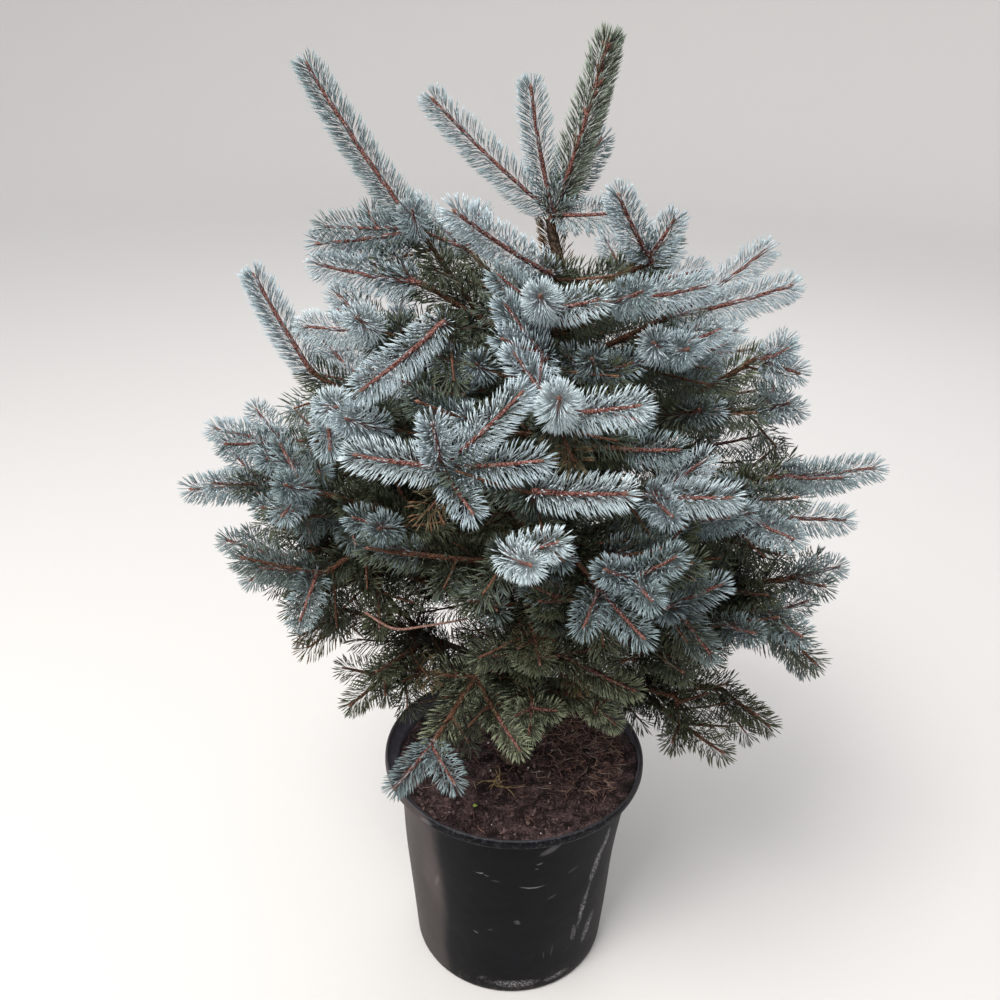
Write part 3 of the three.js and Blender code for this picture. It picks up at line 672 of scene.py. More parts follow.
    def _side_parts(self, start: Fork, side: SideTwig, size: float) -> list[tuple[np.ndarray, int]]:
        """Works out the yearly shoots of a side twig.

        Args:
            start: Where it leaves.
            side: The side twig.
            size: Its seeded size, a factor of its lengths.

        Returns:
            Axes and ages of its shoots, or an empty list where one isn't clear.
        """
        parts, point, done, length = [], start.point, 0.0, side.length * size
        for year, share in enumerate(STEM_SHARES[side.years]):
            points = axis_points(point, side.azimuth, side.rise, side.lift, length, done, done + share)
            if not self._is_clear(points, start.mass):
                return []
            done += share
            point = points[-1]
            parts.append((points, side.years - year))
        points = axis_points(point, side.azimuth, side.rise + side.lift / 2, TIP_LIFT, side.young * size)
        return [*parts, (points, 0)] if self._is_clear(points, start.mass) else []

    def _grow_side_nodes(
        self, stream: Stream, start: Fork, side: SideTwig, ends: Sequence[np.ndarray]
    ) -> None:
        """Grows the twigs of the next order from a side twig's nodes.

        Args:
            stream: Its bough's seeded numbers.
            start: Where the side twig leaves.
            side: The side twig.
            ends: End of each of its yearly shoots.
        """
        done = 0.0
        for year, share in enumerate(STEM_SHARES[side.years]):
            done += share
            left = side.years - 1 - year
            slope = side.rise + side.lift * (done - 0.5)
            following = Fork(ends[year], side.azimuth, slope, start.order + 1, start.mass)
            rest = side.length * (1 - done) * SIDE_SHARE if left else 0
            for roll in BOTH_SIDES:
                young = side.young * YOUNG_AT_NODE
                self._grow_side(stream, following, SIDE_SPREAD, roll, rest, left, young)


class Value:
    """A socket that shader maths is written on."""

    def __init__(self, graph: "Graph", socket: bpy.types.NodeSocket) -> None:
        """Wraps an output socket."""
        self.graph = graph
        self.socket = socket

    def maths(self, operation: str, first: Any, second: Any) -> "Value":
        """Adds the node of an operation on two values or vectors.

        Args:
            operation: The operation's name.
            first: What it works on: a value, a number or a vector.
            second: The same for its second socket.

        Returns:
            Its result.
        """
        sockets = [item.socket for item in (first, second) if isinstance(item, Value)]
        many = any(socket.type in ("VECTOR", "RGBA") for socket in sockets)
        kind = "ShaderNodeVectorMath" if many else "ShaderNodeMath"
        return self.graph.add(kind, {"operation": operation}, {0: first, 1: second})

    def __add__(self, other: Any) -> "Value":
        """Sum."""
        return self.maths("ADD", self, other)

    def __radd__(self, other: Any) -> "Value":
        """Sum, reflected."""
        return self.maths("ADD", other, self)

    def __sub__(self, other: Any) -> "Value":
        """Difference."""
        return self.maths("SUBTRACT", self, other)

    def __rsub__(self, other: Any) -> "Value":
        """Difference, reflected."""
        return self.maths("SUBTRACT", other, self)

    def __mul__(self, other: Any) -> "Value":
        """Product."""
        return self.maths("MULTIPLY", self, other)

    def __rmul__(self, other: Any) -> "Value":
        """Product, reflected."""
        return self.maths("MULTIPLY", other, self)

    def step(self, low: float, high: float) -> "Value":
        """Smooth step from 0 at low to 1 at high, or falling where high lies under low."""
        inputs = {"Value": self, "From Min": low, "From Max": high}
        return self.graph.add("ShaderNodeMapRange", {"interpolation_type": "SMOOTHSTEP"}, inputs)


class Graph:
    """The node tree of one material."""

    def __init__(self, material: bpy.types.Material) -> None:
        """Clears the material's node tree.

        Args:
            material: The material.
        """
        material.use_nodes = True
        self.tree = material.node_tree
        self.tree.nodes.clear()

    def add(
        self, kind: str, settings: dict[str, Any] | None = None, inputs: dict[int | str, Any] | None = None,
        output: int = 0,
    ) -> Value | None:
        """Adds a node.

        Args:
            kind: The node's type.
            settings: Its settings, such as a Math node's operation.
            inputs: Values or links of its sockets.
            output: Which of its outputs to give back.

        Returns:
            The output, or None for a node without one.
        """
        node = self.tree.nodes.new(kind)
        for key, value in (settings or {}).items():
            setattr(node, key, value)
        for key, value in (inputs or {}).items():
            if isinstance(value, Value):
                self.tree.links.new(value.socket, node.inputs[key])
            else:
                node.inputs[key].default_value = value
        return Value(self, node.outputs[output]) if len(node.outputs) else None

    def place(self) -> Value:
        """Place on the piece, in metres."""
        return self.add("ShaderNodeTexCoord", output=3)

    def noise(self, scale: float, detail: float, place: Value | None = None, rough: float = 0.55) -> Value:
        """Fractal noise from 0 to 1 at a number of features a metre."""
        inputs = {"Vector": place or self.place(), "Scale": scale, "Detail": detail, "Roughness": rough}
        return self.add("ShaderNodeTexNoise", {}, inputs)

    def cells(self, scale: float) -> Value:
        """Distance to the nearest of scattered points, at a number of cells a metre."""
        return self.add("ShaderNodeTexVoronoi", {}, {"Vector": self.place(), "Scale": scale})

    def mix(self, factor: Any, first: Any, second: Any) -> Value:
        """Mix of two colours."""
        return self.add("ShaderNodeMix", {"data_type": "RGBA"}, {0: factor, 6: first, 7: second}, output=2)

    def bump(self, height: Value, depth: float) -> Value:
        """Normal of a relief with a depth in metres."""
        return self.add("ShaderNodeBump", {}, {"Height": height, "Distance": depth})


Colour = tuple[float, float, float]


def solid(colour: Colour) -> tuple[float, float, float, float]:
    """Colour with full cover."""
    return (*colour, 1.0)


@dataclass(frozen=True)
class Finish:
    """A procedural finish; inputs gives what its shader takes."""

    name: str

    def inputs(self, graph: Graph) -> dict[str, Any]:
        """Inputs of the Principled shader."""
        raise NotImplementedError

    def material(self) -> bpy.types.Material:
        """Makes the material once.

        Returns:
            The material.
        """
        if self.name in bpy.data.materials:
            return bpy.data.materials[self.name]
        material = bpy.data.materials.new(self.name)
        graph = Graph(material)
        shader = graph.add("ShaderNodeBsdfPrincipled", {}, self.inputs(graph))
        graph.add("ShaderNodeOutputMaterial", {}, {"Surface": shader})
        return material


@dataclass(frozen=True)
class NeedleFinish(Finish):
    """Waxy needles in one plain colour."""

    colour: Colour = (0.3, 0.4, 0.45)
    roughness: float = 0.52

    def inputs(self, graph: Graph) -> dict[str, Any]:
        """A plain base colour with a soft gloss."""
        return {"Base Color": solid(self.colour), "Roughness": self.roughness, "Specular IOR Level": 0.32}


@dataclass(frozen=True)
class BarkFinish(Finish):
    """Bark with darker hollows, lighter flakes and the small pegs that needles leave."""

    dark: Colour = (0.05, 0.03, 0.02)
    light: Colour = (0.16, 0.1, 0.07)
    flakes: float = 260
    depth: float = 0.0006

    def inputs(self, graph: Graph) -> dict[str, Any]:
        """Two browns mixed by flakes, with their relief.

        Args:
            graph: Node tree that takes its nodes.

        Returns:
            Values or links of the shader's sockets.
        """
        patches = graph.noise(self.flakes, 4)
        pegs = graph.cells(self.flakes * 1.6)
        height = patches * 0.5 + (1 - pegs) * 0.8
        shade = height.step(0.45, 0.95)
        return {
            "Base Color": graph.mix(shade, solid(self.dark), solid(self.light)),
            "Roughness": 0.95 - shade * 0.2,
            "Normal": graph.bump(height, self.depth),
            "Specular IOR Level": 0.25,
        }


@dataclass(frozen=True)
class Scuff:
    """A pale mark on the pot: its place round the pot and up it, its breadth and length, the slope of its
    length from upright toward the left, its strength, how far it bows, and how chalky it is.
    """

    azimuth: float
    height: float
    breadth: float
    length: float
    slope: float = 0
    strength: float = 1
    bow: float = 0
    chalk: float = 0.5

    def mask(self, around: Value, up: Value, chalk: Value) -> Value:
        """How strongly the mark shows.

        Args:
            around: Angle round the pot in radians.
            up: Height in metres.
            chalk: Pattern that breaks up a chalky mark.

        Returns:
            Its strength in its middle, falling to 0 at its edge.
        """
        s, c = math.sin(math.radians(self.slope)), math.cos(math.radians(self.slope))
        u = (around - math.radians(self.azimuth)) * (body_radius(self.height) / self.breadth * 2)
        v = (up - self.height * MM) * (2 / self.breadth / MM)
        along = (v * c - u * s) * (self.breadth / self.length)
        across = u * c + v * s - along * along * (2 * self.bow / self.breadth)
        pattern = chalk * (self.chalk * self.strength) + (1 - self.chalk) * self.strength
        return (across * across + along * along).step(1, 0) * pattern


@dataclass(frozen=True)
class PotFinish(Finish):
    """Black nursery-pot plastic: dull sheen, painted side reflections, handling scuffs, a worn lip with a
    painted top highlight, dust at the foot.
    """

    base: Colour = (0.0022, 0.0022, 0.0036)
    film: Colour = (0.005, 0.005, 0.007)
    # Colour of the painted sheen, a warm reflection painted on the pot's sides
    painted_sheen: Colour = (0.085, 0.068, 0.066)
    # Pale colour of the worn lip, also painted along the lip's top edge as a highlight
    edge: Colour = (0.075, 0.075, 0.085)
    scuffs: tuple[Scuff, ...] = ()

    def inputs(self, graph: Graph) -> dict[str, Any]:
        """Black plastic with pale marks in their places.

        Args:
            graph: Node tree that takes its nodes.

        Returns:
            Values or links of the shader's sockets.
        """
        place = graph.place()
        parts = [graph.add("ShaderNodeSeparateXYZ", {}, {0: place}, output=k) for k in range(3)]
        around = graph.add("ShaderNodeMath", {"operation": "ARCTAN2"}, {0: parts[1], 1: parts[0]})
        up = parts[2]
        chalk = graph.noise(480, 5, place, 0.8).step(0.46, 0.62)
        ragged = around + graph.noise(80, 4, place, 0.7) * 0.06 - 0.03
        white = self.scuffs[0].mask(ragged, up, chalk)
        for scuff in self.scuffs[1:]:
            white = white + scuff.mask(ragged, up, chalk)
        foot = up.step(0.03, 0.0) * graph.noise(160, 5, place, 0.7).step(0.46, 0.66)
        film = graph.noise(14, 4, place * (1.0, 1.0, 0.35)).step(0.42, 0.72)
        grain = graph.noise(1500, 2)
        fine = graph.noise(260, 2, place * (1.0, 1.0, 0.08)).step(0.6, 0.8)
        # Painted sheen: warm reflections painted on the sides, strongest at the left and fainter at the
        # right and the back, between angles round the pot
        wobble = around + graph.noise(9, 3) * 0.3 - 0.15
        sides = wobble.step(-2.16, -2.32) + wobble.step(-0.8, -0.2) * 0.3 + wobble.step(2.4, 3.0) * 0.6
        dust_and_sheen = graph.mix(film, solid(self.base), solid(self.film))
        dust_and_sheen = graph.mix(sides * (0.5 + film * 0.5), dust_and_sheen, solid(self.painted_sheen))
        marked = graph.mix(fine * 0.02 + foot * 0.3, dust_and_sheen, solid((0.2, 0.18, 0.16)))
        # Patches of wear over the lip, and a painted highlight along its top edge, both in the edge colour
        worn = graph.noise(300, 4, place, 0.7).step(0.5, 0.64) * up.step(0.2405, 0.242)
        marked = graph.mix(up.step(0.2503, 0.2516) * 0.5 + worn * 0.4, marked, solid(self.edge))
        return {
            "Base Color": graph.mix(white, marked, solid((0.36, 0.35, 0.36))),
            "Roughness": 0.42 + film * 0.1 + white * 0.3 + foot * 0.2 + grain * 0.05,
            "Normal": graph.bump(grain * 0.3 + film * 0.4 + graph.noise(22, 2) * 2, 0.0006),
            "Specular IOR Level": 0.08,
        }


@dataclass(frozen=True)
class SoilFinish(Finish):
    """Dark moist potting mix, paler where its relief stands high."""

    dark: Colour = (0.0125, 0.007, 0.007)
    light: Colour = (0.23, 0.145, 0.14)

    def inputs(self, graph: Graph) -> dict[str, Any]:
        """Browns by the height of a rough relief, darker in its hollows, with that relief.

        Args:
            graph: Node tree that takes its nodes.

        Returns:
            Values or links of the shader's sockets.
        """
        clods, crumbs = graph.noise(70, 4), graph.noise(420, 5, None, 0.7)
        height = clods * 0.5 + crumbs * 0.6
        return {
            "Base Color": graph.mix(height.step(0.46, 0.82), solid(self.dark), solid(self.light)),
            "Roughness": 0.96 - crumbs * 0.15,
            "Normal": graph.bump(height, 0.003),
            "Specular IOR Level": 0.2,
        }


@dataclass(frozen=True)
class SpeckFinish(Finish):
    """A small dry thing with a slightly uneven colour: a grain, chip, blade or shed needle."""

    dark: Colour = (0.1, 0.06, 0.04)
    light: Colour = (0.2, 0.13, 0.08)
    scale: float = 300

    def inputs(self, graph: Graph) -> dict[str, Any]:
        """Two colours mixed by noise.

        Args:
            graph: Node tree that takes its nodes.

        Returns:
            Values or links of the shader's sockets.
        """
        spots = graph.noise(self.scale, 3)
        return {
            "Base Color": graph.mix(spots.step(0.35, 0.65), solid(self.dark), solid(self.light)),
            "Roughness": 0.7 + spots * 0.2,
            "Specular IOR Level": 0.3,
        }


@dataclass(frozen=True)
class FloorFinish(Finish):
    """Plain pale floor."""

    colour: Colour = (0.72, 0.7, 0.68)

    def inputs(self, graph: Graph) -> dict[str, Any]:
        """A plain matt colour."""
        return {"Base Color": solid(self.colour), "Roughness": 0.75, "Specular IOR Level": 0.2}


class Tone(Enum):
    """Needle colours, dealt out by spray."""

    FROST = (0.6, 0.7, 0.735)
    SILVER = (0.46, 0.555, 0.6)
    BLUE = (0.315, 0.4, 0.425)
    SLATE = (0.19, 0.243, 0.245)
    TEAL = (0.12, 0.155, 0.135)
    SPRUCE = (0.105, 0.126, 0.086)
    GREEN = (0.078, 0.09, 0.048)
    MOSS = (0.037, 0.043, 0.025)
    OLIVE = (0.135, 0.118, 0.062)
    LEADER = (0.3, 0.35, 0.29)
    RUST = (0.17, 0.085, 0.04)
    # A lighter copy of the old greens: painted light for the LIT masses
    PAINTED_LIT_GREEN = (0.3, 0.335, 0.215)

    def finish(self) -> NeedleFinish:
        """Its finish."""
        return NeedleFinish(f"needle_{self.name.lower()}", self.value)


TONES = tuple(Tone)
YOUNG_TONES = (Tone.GREEN, Tone.SPRUCE, Tone.TEAL, Tone.SLATE, Tone.BLUE, Tone.SILVER, Tone.FROST)
OLD_TONES = (Tone.MOSS, Tone.GREEN, Tone.SPRUCE, Tone.TEAL)
SHADED_TONES = (Tone.GREEN, Tone.SPRUCE, Tone.TEAL)


def deal(tones: Sequence[Tone], level: float) -> tuple[Tone, Tone]:
    """Picks two neighbouring tones of a row.

    Args:
        tones: The row, from dark to light.
        level: Place in the row, from 0 to 1.

    Returns:
        The tone at that place, and the nearer of its neighbours.
    """
    place = min(len(tones) - 1, max(0, int(level * len(tones))))
    other = place + (1 if level * len(tones) - place > 0.5 else -1)
    return tones[place], tones[min(len(tones) - 1, max(0, other))]


@dataclass
class MeshBuffer:
    """Vertices and faces of one piece, gathered as arrays in millimetres."""

    points: list[np.ndarray] = field(default_factory=list)
    faces: list[np.ndarray] = field(default_factory=list)
    kinds: list[np.ndarray] = field(default_factory=list)
    count: int = 0
    triangles: int = 0

    def add(self, points: np.ndarray, faces: np.ndarray, kind: int | np.ndarray = 0) -> None:
        """Adds faces of three or four corners.

        Args:
            points: Their vertices.
            faces: Corners of each face, as numbers of those vertices.
            kind: Place of their finish among the piece's finishes, for all of them or for each.
        """
        self.points.append(points.reshape(-1, 3))
        self.faces.append(faces + self.count)
        self.kinds.append(np.full(len(faces), kind, dtype=np.int32))
        self.count += len(self.points[-1])
        self.triangles += len(faces) * (faces.shape[1] - 2)

    def build(self, name: str, finishes: Sequence[Finish], smooth: bool) -> bpy.types.Object:
        """Makes the piece.

        Args:
            name: Its name.
            finishes: Finishes in the order of the kinds.
            smooth: Whether its faces are shaded smooth.

        Returns:
            The piece, linked into the scene.
        """
        mesh = bpy.data.meshes.new(name)
        points = np.concatenate(self.points) * MM
        corners = np.concatenate([face.ravel() for face in self.faces])
        sizes = np.concatenate([np.full(len(face), face.shape[1]) for face in self.faces])
        starts = np.concatenate(([0], np.cumsum(sizes)[:-1]))
        mesh.vertices.add(len(points))
        mesh.vertices.foreach_set("co", points.astype(np.float32).ravel())
        mesh.loops.add(len(corners))
        mesh.loops.foreach_set("vertex_index", corners.astype(np.int32))
        mesh.polygons.add(len(sizes))
        mesh.polygons.foreach_set("loop_start", starts.astype(np.int32))
        mesh.polygons.foreach_set("material_index", np.concatenate(self.kinds))
        mesh.polygons.foreach_set("use_smooth", np.full(len(sizes), smooth))
        mesh.update(calc_edges=True)
        mesh.validate()
        for finish in finishes:
            mesh.materials.append(finish.material())
        log.info("%s: %d triangles", name, self.triangles)
        return link(name, mesh)


@dataclass
class PieceSet:
    """Pieces of one kind, each kept to at most MOST_TRIANGLES triangles."""

    name: str
    slot: str
    finishes: Sequence[Finish]
    buffer: MeshBuffer = field(default_factory=MeshBuffer)
    nodes: set[str] = field(default_factory=set)
    made: list[bpy.types.Object] = field(default_factory=list)

    def add(self, points: np.ndarray, faces: np.ndarray, kind: int, node: str) -> None:
        """Adds faces, in a new piece where the last one is full.

        Args:
            points: Their vertices.
            faces: Corners of each face.
            kind: Place of their finish among the set's finishes.
            node: Node that they stand for a part of.
        """
        if self.buffer.triangles + len(faces) * (faces.shape[1] - 2) > MOST_TRIANGLES:
            self.close()
        self.buffer.add(points, faces, kind)
        self.nodes.add(node)

    def close(self) -> None:
        """Makes a piece of what has been gathered, and starts the next."""
        if self.buffer.count:
            piece = self.buffer.build(f"{self.name}_{len(self.made) + 1}", self.finishes, True)
            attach(piece, "root")
            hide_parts(*sorted(self.nodes))
            self.made.append(piece)
        self.buffer, self.nodes = MeshBuffer(), set()


def frames(along: np.ndarray) -> tuple[np.ndarray, np.ndarray]:
    """Finds directions across some headings.

    Args:
        along: The headings.

    Returns:
        Two unit vectors across each: one to its left and level, the other up.
    """
    level = np.stack((-along[:, 1], along[:, 0], np.zeros(len(along))), axis=1)
    level[np.hypot(along[:, 0], along[:, 1]) < 0.02] = (0, 1, 0)
    left = unit(level)
    return left, np.cross(along, left)


def tube(
    points: np.ndarray, radii: np.ndarray, sides: int, level: bool = False
) -> tuple[np.ndarray, np.ndarray]:
    """A tube along an axis, open at both ends.

    Args:
        points: Its axis.
        radii: Its radius at each point of the axis, or at each point and side.
        sides: Number of sides.
        level: Whether its rings lie level.

    Returns:
        Vertices and four-cornered faces.
    """
    along = unit(np.gradient(points, axis=0))
    if level:
        along = np.tile((0.0, 0.0, 1.0), (len(points), 1))
    left, up = frames(along)
    angle = ring_angles(sides)[None, :, None]
    spread = radii[:, None] if radii.ndim == 1 else radii
    ring = left[:, None] * np.cos(angle) + up[:, None] * np.sin(angle)
    vertices = points[:, None] + ring * spread[..., None]
    return vertices.reshape(-1, 3), ring_faces(len(points), sides)


@dataclass
class Path:
    """A smooth axis with the length reached at each of its points."""

    points: np.ndarray
    reach: np.ndarray

    @classmethod
    def through(cls, corners: np.ndarray) -> "Path":
        """Lays a smooth path through some points, with PATH_STEPS steps from each to the next.

        Args:
            corners: The points.

        Returns:
            The path.
        """
        padded = np.concatenate((2 * corners[:1] - corners[1:2], corners, 2 * corners[-1:] - corners[-2:-1]))
        a, b, c, d = padded[:-3, None], padded[1:-2, None], padded[2:-1, None], padded[3:, None]
        t = (np.arange(PATH_STEPS) / PATH_STEPS)[None, :, None]
        squared = (2 * a - 5 * b + 4 * c - d) * t**2
        cubed = (3 * b - a - 3 * c + d) * t**3
        curve = 0.5 * (2 * b + (c - a) * t + squared + cubed)
        points = np.concatenate((curve.reshape(-1, 3), corners[-1:]))
        gaps = np.linalg.norm(np.diff(points, axis=0), axis=1)
        return cls(points, np.concatenate(([0], np.cumsum(gaps))))

    def at(self, reach: np.ndarray) -> tuple[np.ndarray, np.ndarray]:
        """Reads the path at some lengths along it.

        Args:
            reach: The lengths.

        Returns:
            The points there, and the unit headings.
        """
        along = unit(np.gradient(self.points, axis=0))
        points = np.stack([np.interp(reach, self.reach, self.points[:, k]) for k in range(3)], axis=1)
        headings = np.stack([np.interp(reach, self.reach, along[:, k]) for k in range(3)], axis=1)
        return points, unit(headings)


@dataclass(frozen=True)
class Stretch:
    """One year's stretch of a twig's path, from one length along it to another."""

    path: Path
    start: float
    end: float

    @property
    def length(self) -> float:
        """Its length."""
        return self.end - self.start


@dataclass(frozen=True)
class NeedleStyle:
    """How the needles of a spray stand.

    density is how many a millimetre, crest how many crowd round the end bud, and the leans are their
    angles to the twig at its foot and near its end.
    """

    density: float
    length: float
    radius: float
    foot_lean: float
    tip_lean: float
    crest: int = 0


class Style(Enum):
    """Needle styles by the age of the shoot."""

    YOUNG = NeedleStyle(3.3, 19.5, 0.56, 68, 55, 18)
    SHADED = NeedleStyle(2.5, 21, 0.6, 66, 54, 12)
    RECENT = NeedleStyle(3.1, 23, 0.62, 62, 54)
    OLD = NeedleStyle(2.9, 22, 0.6, 66, 58)
    OLDEST = NeedleStyle(2.3, 20, 0.62, 72, 62)
    INNER = NeedleStyle(1.7, 21, 0.64, 64, 52, 6)
    LEADER = NeedleStyle(5.6, 21.5, 0.6, 62, 54, 36)
    TRUNK = NeedleStyle(3.2, 15, 0.62, 70, 50)


STYLES_BY_AGE = (Style.YOUNG, Style.RECENT, Style.OLD, Style.OLDEST)


@dataclass(frozen=True)
class Spray:
    """The needles on one stretch of a twig, in two neighbouring tones."""

    stretch: Stretch
    style: NeedleStyle
    tones: tuple[Tone, Tone]
    twig_radius: float
    node: str

    def add_to(self, pieces: PieceSet, rng: np.random.Generator) -> None:
        """Adds the spray's needles, the lesser part of them in the second tone.

        Args:
            pieces: Set that takes them.
            rng: Seeded source of the small differences between needles.
        """
        needles = self._needles(rng)
        second = rng.random(len(needles)) < SECOND_TONE
        for tone, part in zip(self.tones, (needles[~second], needles[second])):
            faces = np.arange(len(part))[:, None, None] * NEEDLE_CORNERS + NEEDLE_FACES[None]
            pieces.add(part.reshape(-1, 3), faces.reshape(-1, 3), TONES.index(tone), self.node)

    def _needles(self, rng: np.random.Generator) -> np.ndarray:
        """The needles: each stands out of the twig, leans forward, curves up and is widest near its middle.

        Args:
            rng: Seeded source of the small differences between needles.

        Returns:
            Five vertices a needle: its root, three round its middle, and its apex.
        """
        style, length = self.style, self.stretch.length
        body = max(4, int(length * style.density))
        count = body + style.crest
        share = np.minimum((np.arange(count) + rng.random(count)) / body, 1)
        centre, along = self.stretch.path.at(self.stretch.start + share * length)
        side, up = frames(along)
        steep = np.abs(along[:, 2:])
        flat = (1 - steep) ** 0.7
        angle = np.arange(count) * GOLDEN_ANGLE + rng.normal(0, TURN_SPREAD, count)
        angle = (angle + PARTING * np.sin(angle))[:, None]
        out = unit(up * np.cos(angle) + side * np.sin(angle) + up * (UPWARD * flat))
        lean = style.foot_lean + (style.tip_lean - style.foot_lean) * share**2 - STEEP_LEAN * steep[:, 0]
        lean = np.where(np.arange(count) < body, lean, rng.uniform(*CREST_LEAN, count))
        lean = np.radians(lean + rng.normal(0, LEAN_SPREAD, count))[:, None]
        size = style.length * (1 - 0.2 * share**6) * (0.7 + 0.3 * np.minimum(1, share * 7))
        size = (size * rng.uniform(*SIZE_SPREAD, count))[:, None]
        first = along * np.cos(lean + NEEDLE_BEND) + out * np.sin(lean + NEEDLE_BEND)
        last = along * np.cos(lean - NEEDLE_BEND) + out * np.sin(lean - NEEDLE_BEND)
        last = unit(last + np.array((0.0, 0.0, NEEDLE_LIFT)) * flat)
        root = centre + out * (self.twig_radius * NEEDLE_ROOT)
        middle = root + first * (size * NEEDLE_WIDEST)
        apex = middle + last * (size * (1 - NEEDLE_WIDEST))
        keep = (apex[:, 2] > NEEDLE_FLOOR) | (np.hypot(apex[:, 0], apex[:, 1]) > NEEDLE_RIM)
        kept = [item[keep] for item in (root, middle, apex, out, along, first)]
        root, middle, apex, out, along, first = kept
        across = unit(np.cross(along, out))
        over = np.cross(first, across)
        ring = np.stack([across * math.cos(a) + over * math.sin(a) for a in NEEDLE_TURNS], axis=1)
        return np.concatenate((root[:, None], middle[:, None] + ring * style.radius, apex[:, None]), axis=1)


class TwigBark(Enum):
    """Bark of the twigs, in the order of the finishes of their pieces."""

    YOUNG = BarkFinish("twig_young", (0.1, 0.032, 0.028), (0.47, 0.23, 0.19), 420, 0.0016)
    SHADED = BarkFinish("twig_shaded", (0.05, 0.025, 0.016), (0.21, 0.095, 0.06), 420, 0.001)
    OLD = BarkFinish("twig_old", (0.085, 0.038, 0.023), (0.27, 0.13, 0.078), 400, 0.001)
    BARE = BarkFinish("twig_bare", (0.16, 0.085, 0.065), (0.36, 0.21, 0.17), 400, 0.0004)


TWIG_BARKS = tuple(TwigBark)


@dataclass
class Foliage:
    """Twigs, needles and buds that grow on from the limbs.

    tip_growth is how much thicker a twig's tip is for each millimetre of its last year, and tip_taper the
    share of it that is left at the very end. stem_thickness is how much thicker a mass's stem is than its
    age alone gives, and order_thinning how much less so each order of side twigs. bud_twig_radius is the
    radius of a twig whose end bud has its full size. short_shoot is the least length of needles, as a
    share of the full one, and the length of shoot that would add a whole share to it.
    """

    crown: Crown
    seed: int = 41
    main_extra: float = 1.2
    tube_step: float = 7
    twig_sides: int = 6
    twig_swelling: float = 0.22
    tip_radius: float = 1.1
    tip_growth: float = 0.0045
    tip_taper: float = 0.8
    stem_thickness: float = 1.22
    order_thinning: float = 0.1
    inside_trunk: float = 6
    inner_pitch: float = 30
    inner_lengths: tuple[float, float] = (32, 64)
    inner_spread: tuple[float, float] = (48, 66)
    inner_places: tuple[float, float] = (0.25, 0.75)
    inner_rolls: tuple[int, ...] = (0, 180, 270)
    inner_roll_spread: float = 24
    inner_radii: tuple[float, float] = (1.4, 0.9)
    inner_sides: int = 5
    inner_clear: float = 24
    inner_bare: float = 2
    inner_twig_radius: float = 1.2
    bud_profile: tuple[tuple[float, float], ...] = ((-1.5, 0.7), (0.6, 1.0), (3.4, 0.8), (5.6, 0.06))
    bud_radius: float = 1.75
    bud_twig_radius: float = 1.5
    side_bud: float = 0.62
    side_bud_lean: float = 0.9
    leader_buds: int = 12
    leader_bud_span: tuple[float, float] = (0.25, 0.9)
    crown_buds: int = 5
    crown_bud_place: float = 0.985
    leader_bud_scales: tuple[float, float] = (0.9, 1.25)
    leader_bud_foot: float = 2.2
    leader_bud_lean: float = 0.8
    trunk_needles_from: float = 690
    trunk_needles_radius: float = 6
    short_shoot: tuple[float, float] = (0.76, 300)
    bare_node: str = "foliage_front_base"
    bare_radii: tuple[float, float] = (1.1, 0.8)
    bare_twig: tuple[tuple[float, float, float], ...] = (
        (-133, -148, 514), (-108, -155, 503), (-83, -160, 509), (-60, -160, 514), (-46, -150, 511),
    )

    def __post_init__(self) -> None:
        """Starts the sets of pieces and the seeded numbers that they share."""
        self.rng = np.random.default_rng(self.seed)
        tones = [tone.finish() for tone in TONES]
        bud = SpeckFinish("bud", (0.15, 0.062, 0.046), (0.33, 0.165, 0.125), 500)
        self.young = PieceSet("needles_young", "foliage", tones)
        self.old = PieceSet("needles_old", "foliage", tones)
        self.inner = PieceSet("needles_inner", "foliage", tones)
        self.twigs = PieceSet("twigs", "bough", [bark.value for bark in TWIG_BARKS])
        self.buds = PieceSet("buds", "bough", [bud])

    def build(self) -> list[bpy.types.Object]:
        """Builds every piece of the foliage.

        Returns:
            The pieces.
        """
        groups: dict[int, list[Shoot]] = {}
        for shoot in self.crown.shoots:
            groups.setdefault(shoot.twig, []).append(shoot)
        for shoots in groups.values():
            self._add_twig(shoots)
        self._trunk_spray().add_to(self.old, self.rng)
        self._add_leader_buds()
        bare = Path.through(np.array(self.bare_twig)).points
        radii = np.linspace(*self.bare_radii, len(bare))
        self._add_tube(bare, radii, TwigBark.BARE, self.bare_node)
        sets = (self.young, self.old, self.inner, self.twigs, self.buds)
        for pieces in sets:
            pieces.close()
        return [piece for pieces in sets for piece in pieces.made]

    def _add_twig(self, shoots: Sequence[Shoot]) -> None:
        """Adds a twig with its buds, bark and needles.

        Args:
            shoots: Its yearly shoots, the oldest first.
        """
        path, breaks, radii = self._axis(shoots)
        foot = shoots[0]
        self._add_buds(path, radii[-1], foot)
        shade = SIDE_SHADE_BY_MASS.get(foot.mass, SIDE_SHADE) if len(shoots) > 1 and foot.order else 0
        for index, shoot in enumerate(shoots):
            start = breaks[index] + (0 if index else self._inside_trunk(foot.points[0]))
            stretch = Stretch(path, start, breaks[index + 1])
            spray = self._spray(shoot, stretch, shade)
            spray.add_to(self.old if shoot.age else self.young, self.rng)
            if not shoot.limb:
                young = TwigBark.SHADED if spray.tones[0] in SHADED_TONES else TwigBark.YOUNG
                bark = TwigBark.OLD if shoot.age else young
                self._add_bark(path, breaks[index : index + 2], radii[index : index + 2], bark, shoot.node)
            if shoot.age:
                self._add_inner(stretch, shoot)

    def _inside_trunk(self, point: np.ndarray) -> float:
        """Finds how far a twig runs inside the trunk.

        Args:
            point: Where the twig starts.

        Returns:
            The length, or 0 where it doesn't start on the trunk's axis.
        """
        if math.hypot(point[0] - float(trunk_x(point[2])), point[1]) > 1 or point[2] > TRUNK_TIP - 1:
            return 0
        return self.inside_trunk + float(trunk_radius(point[2]))

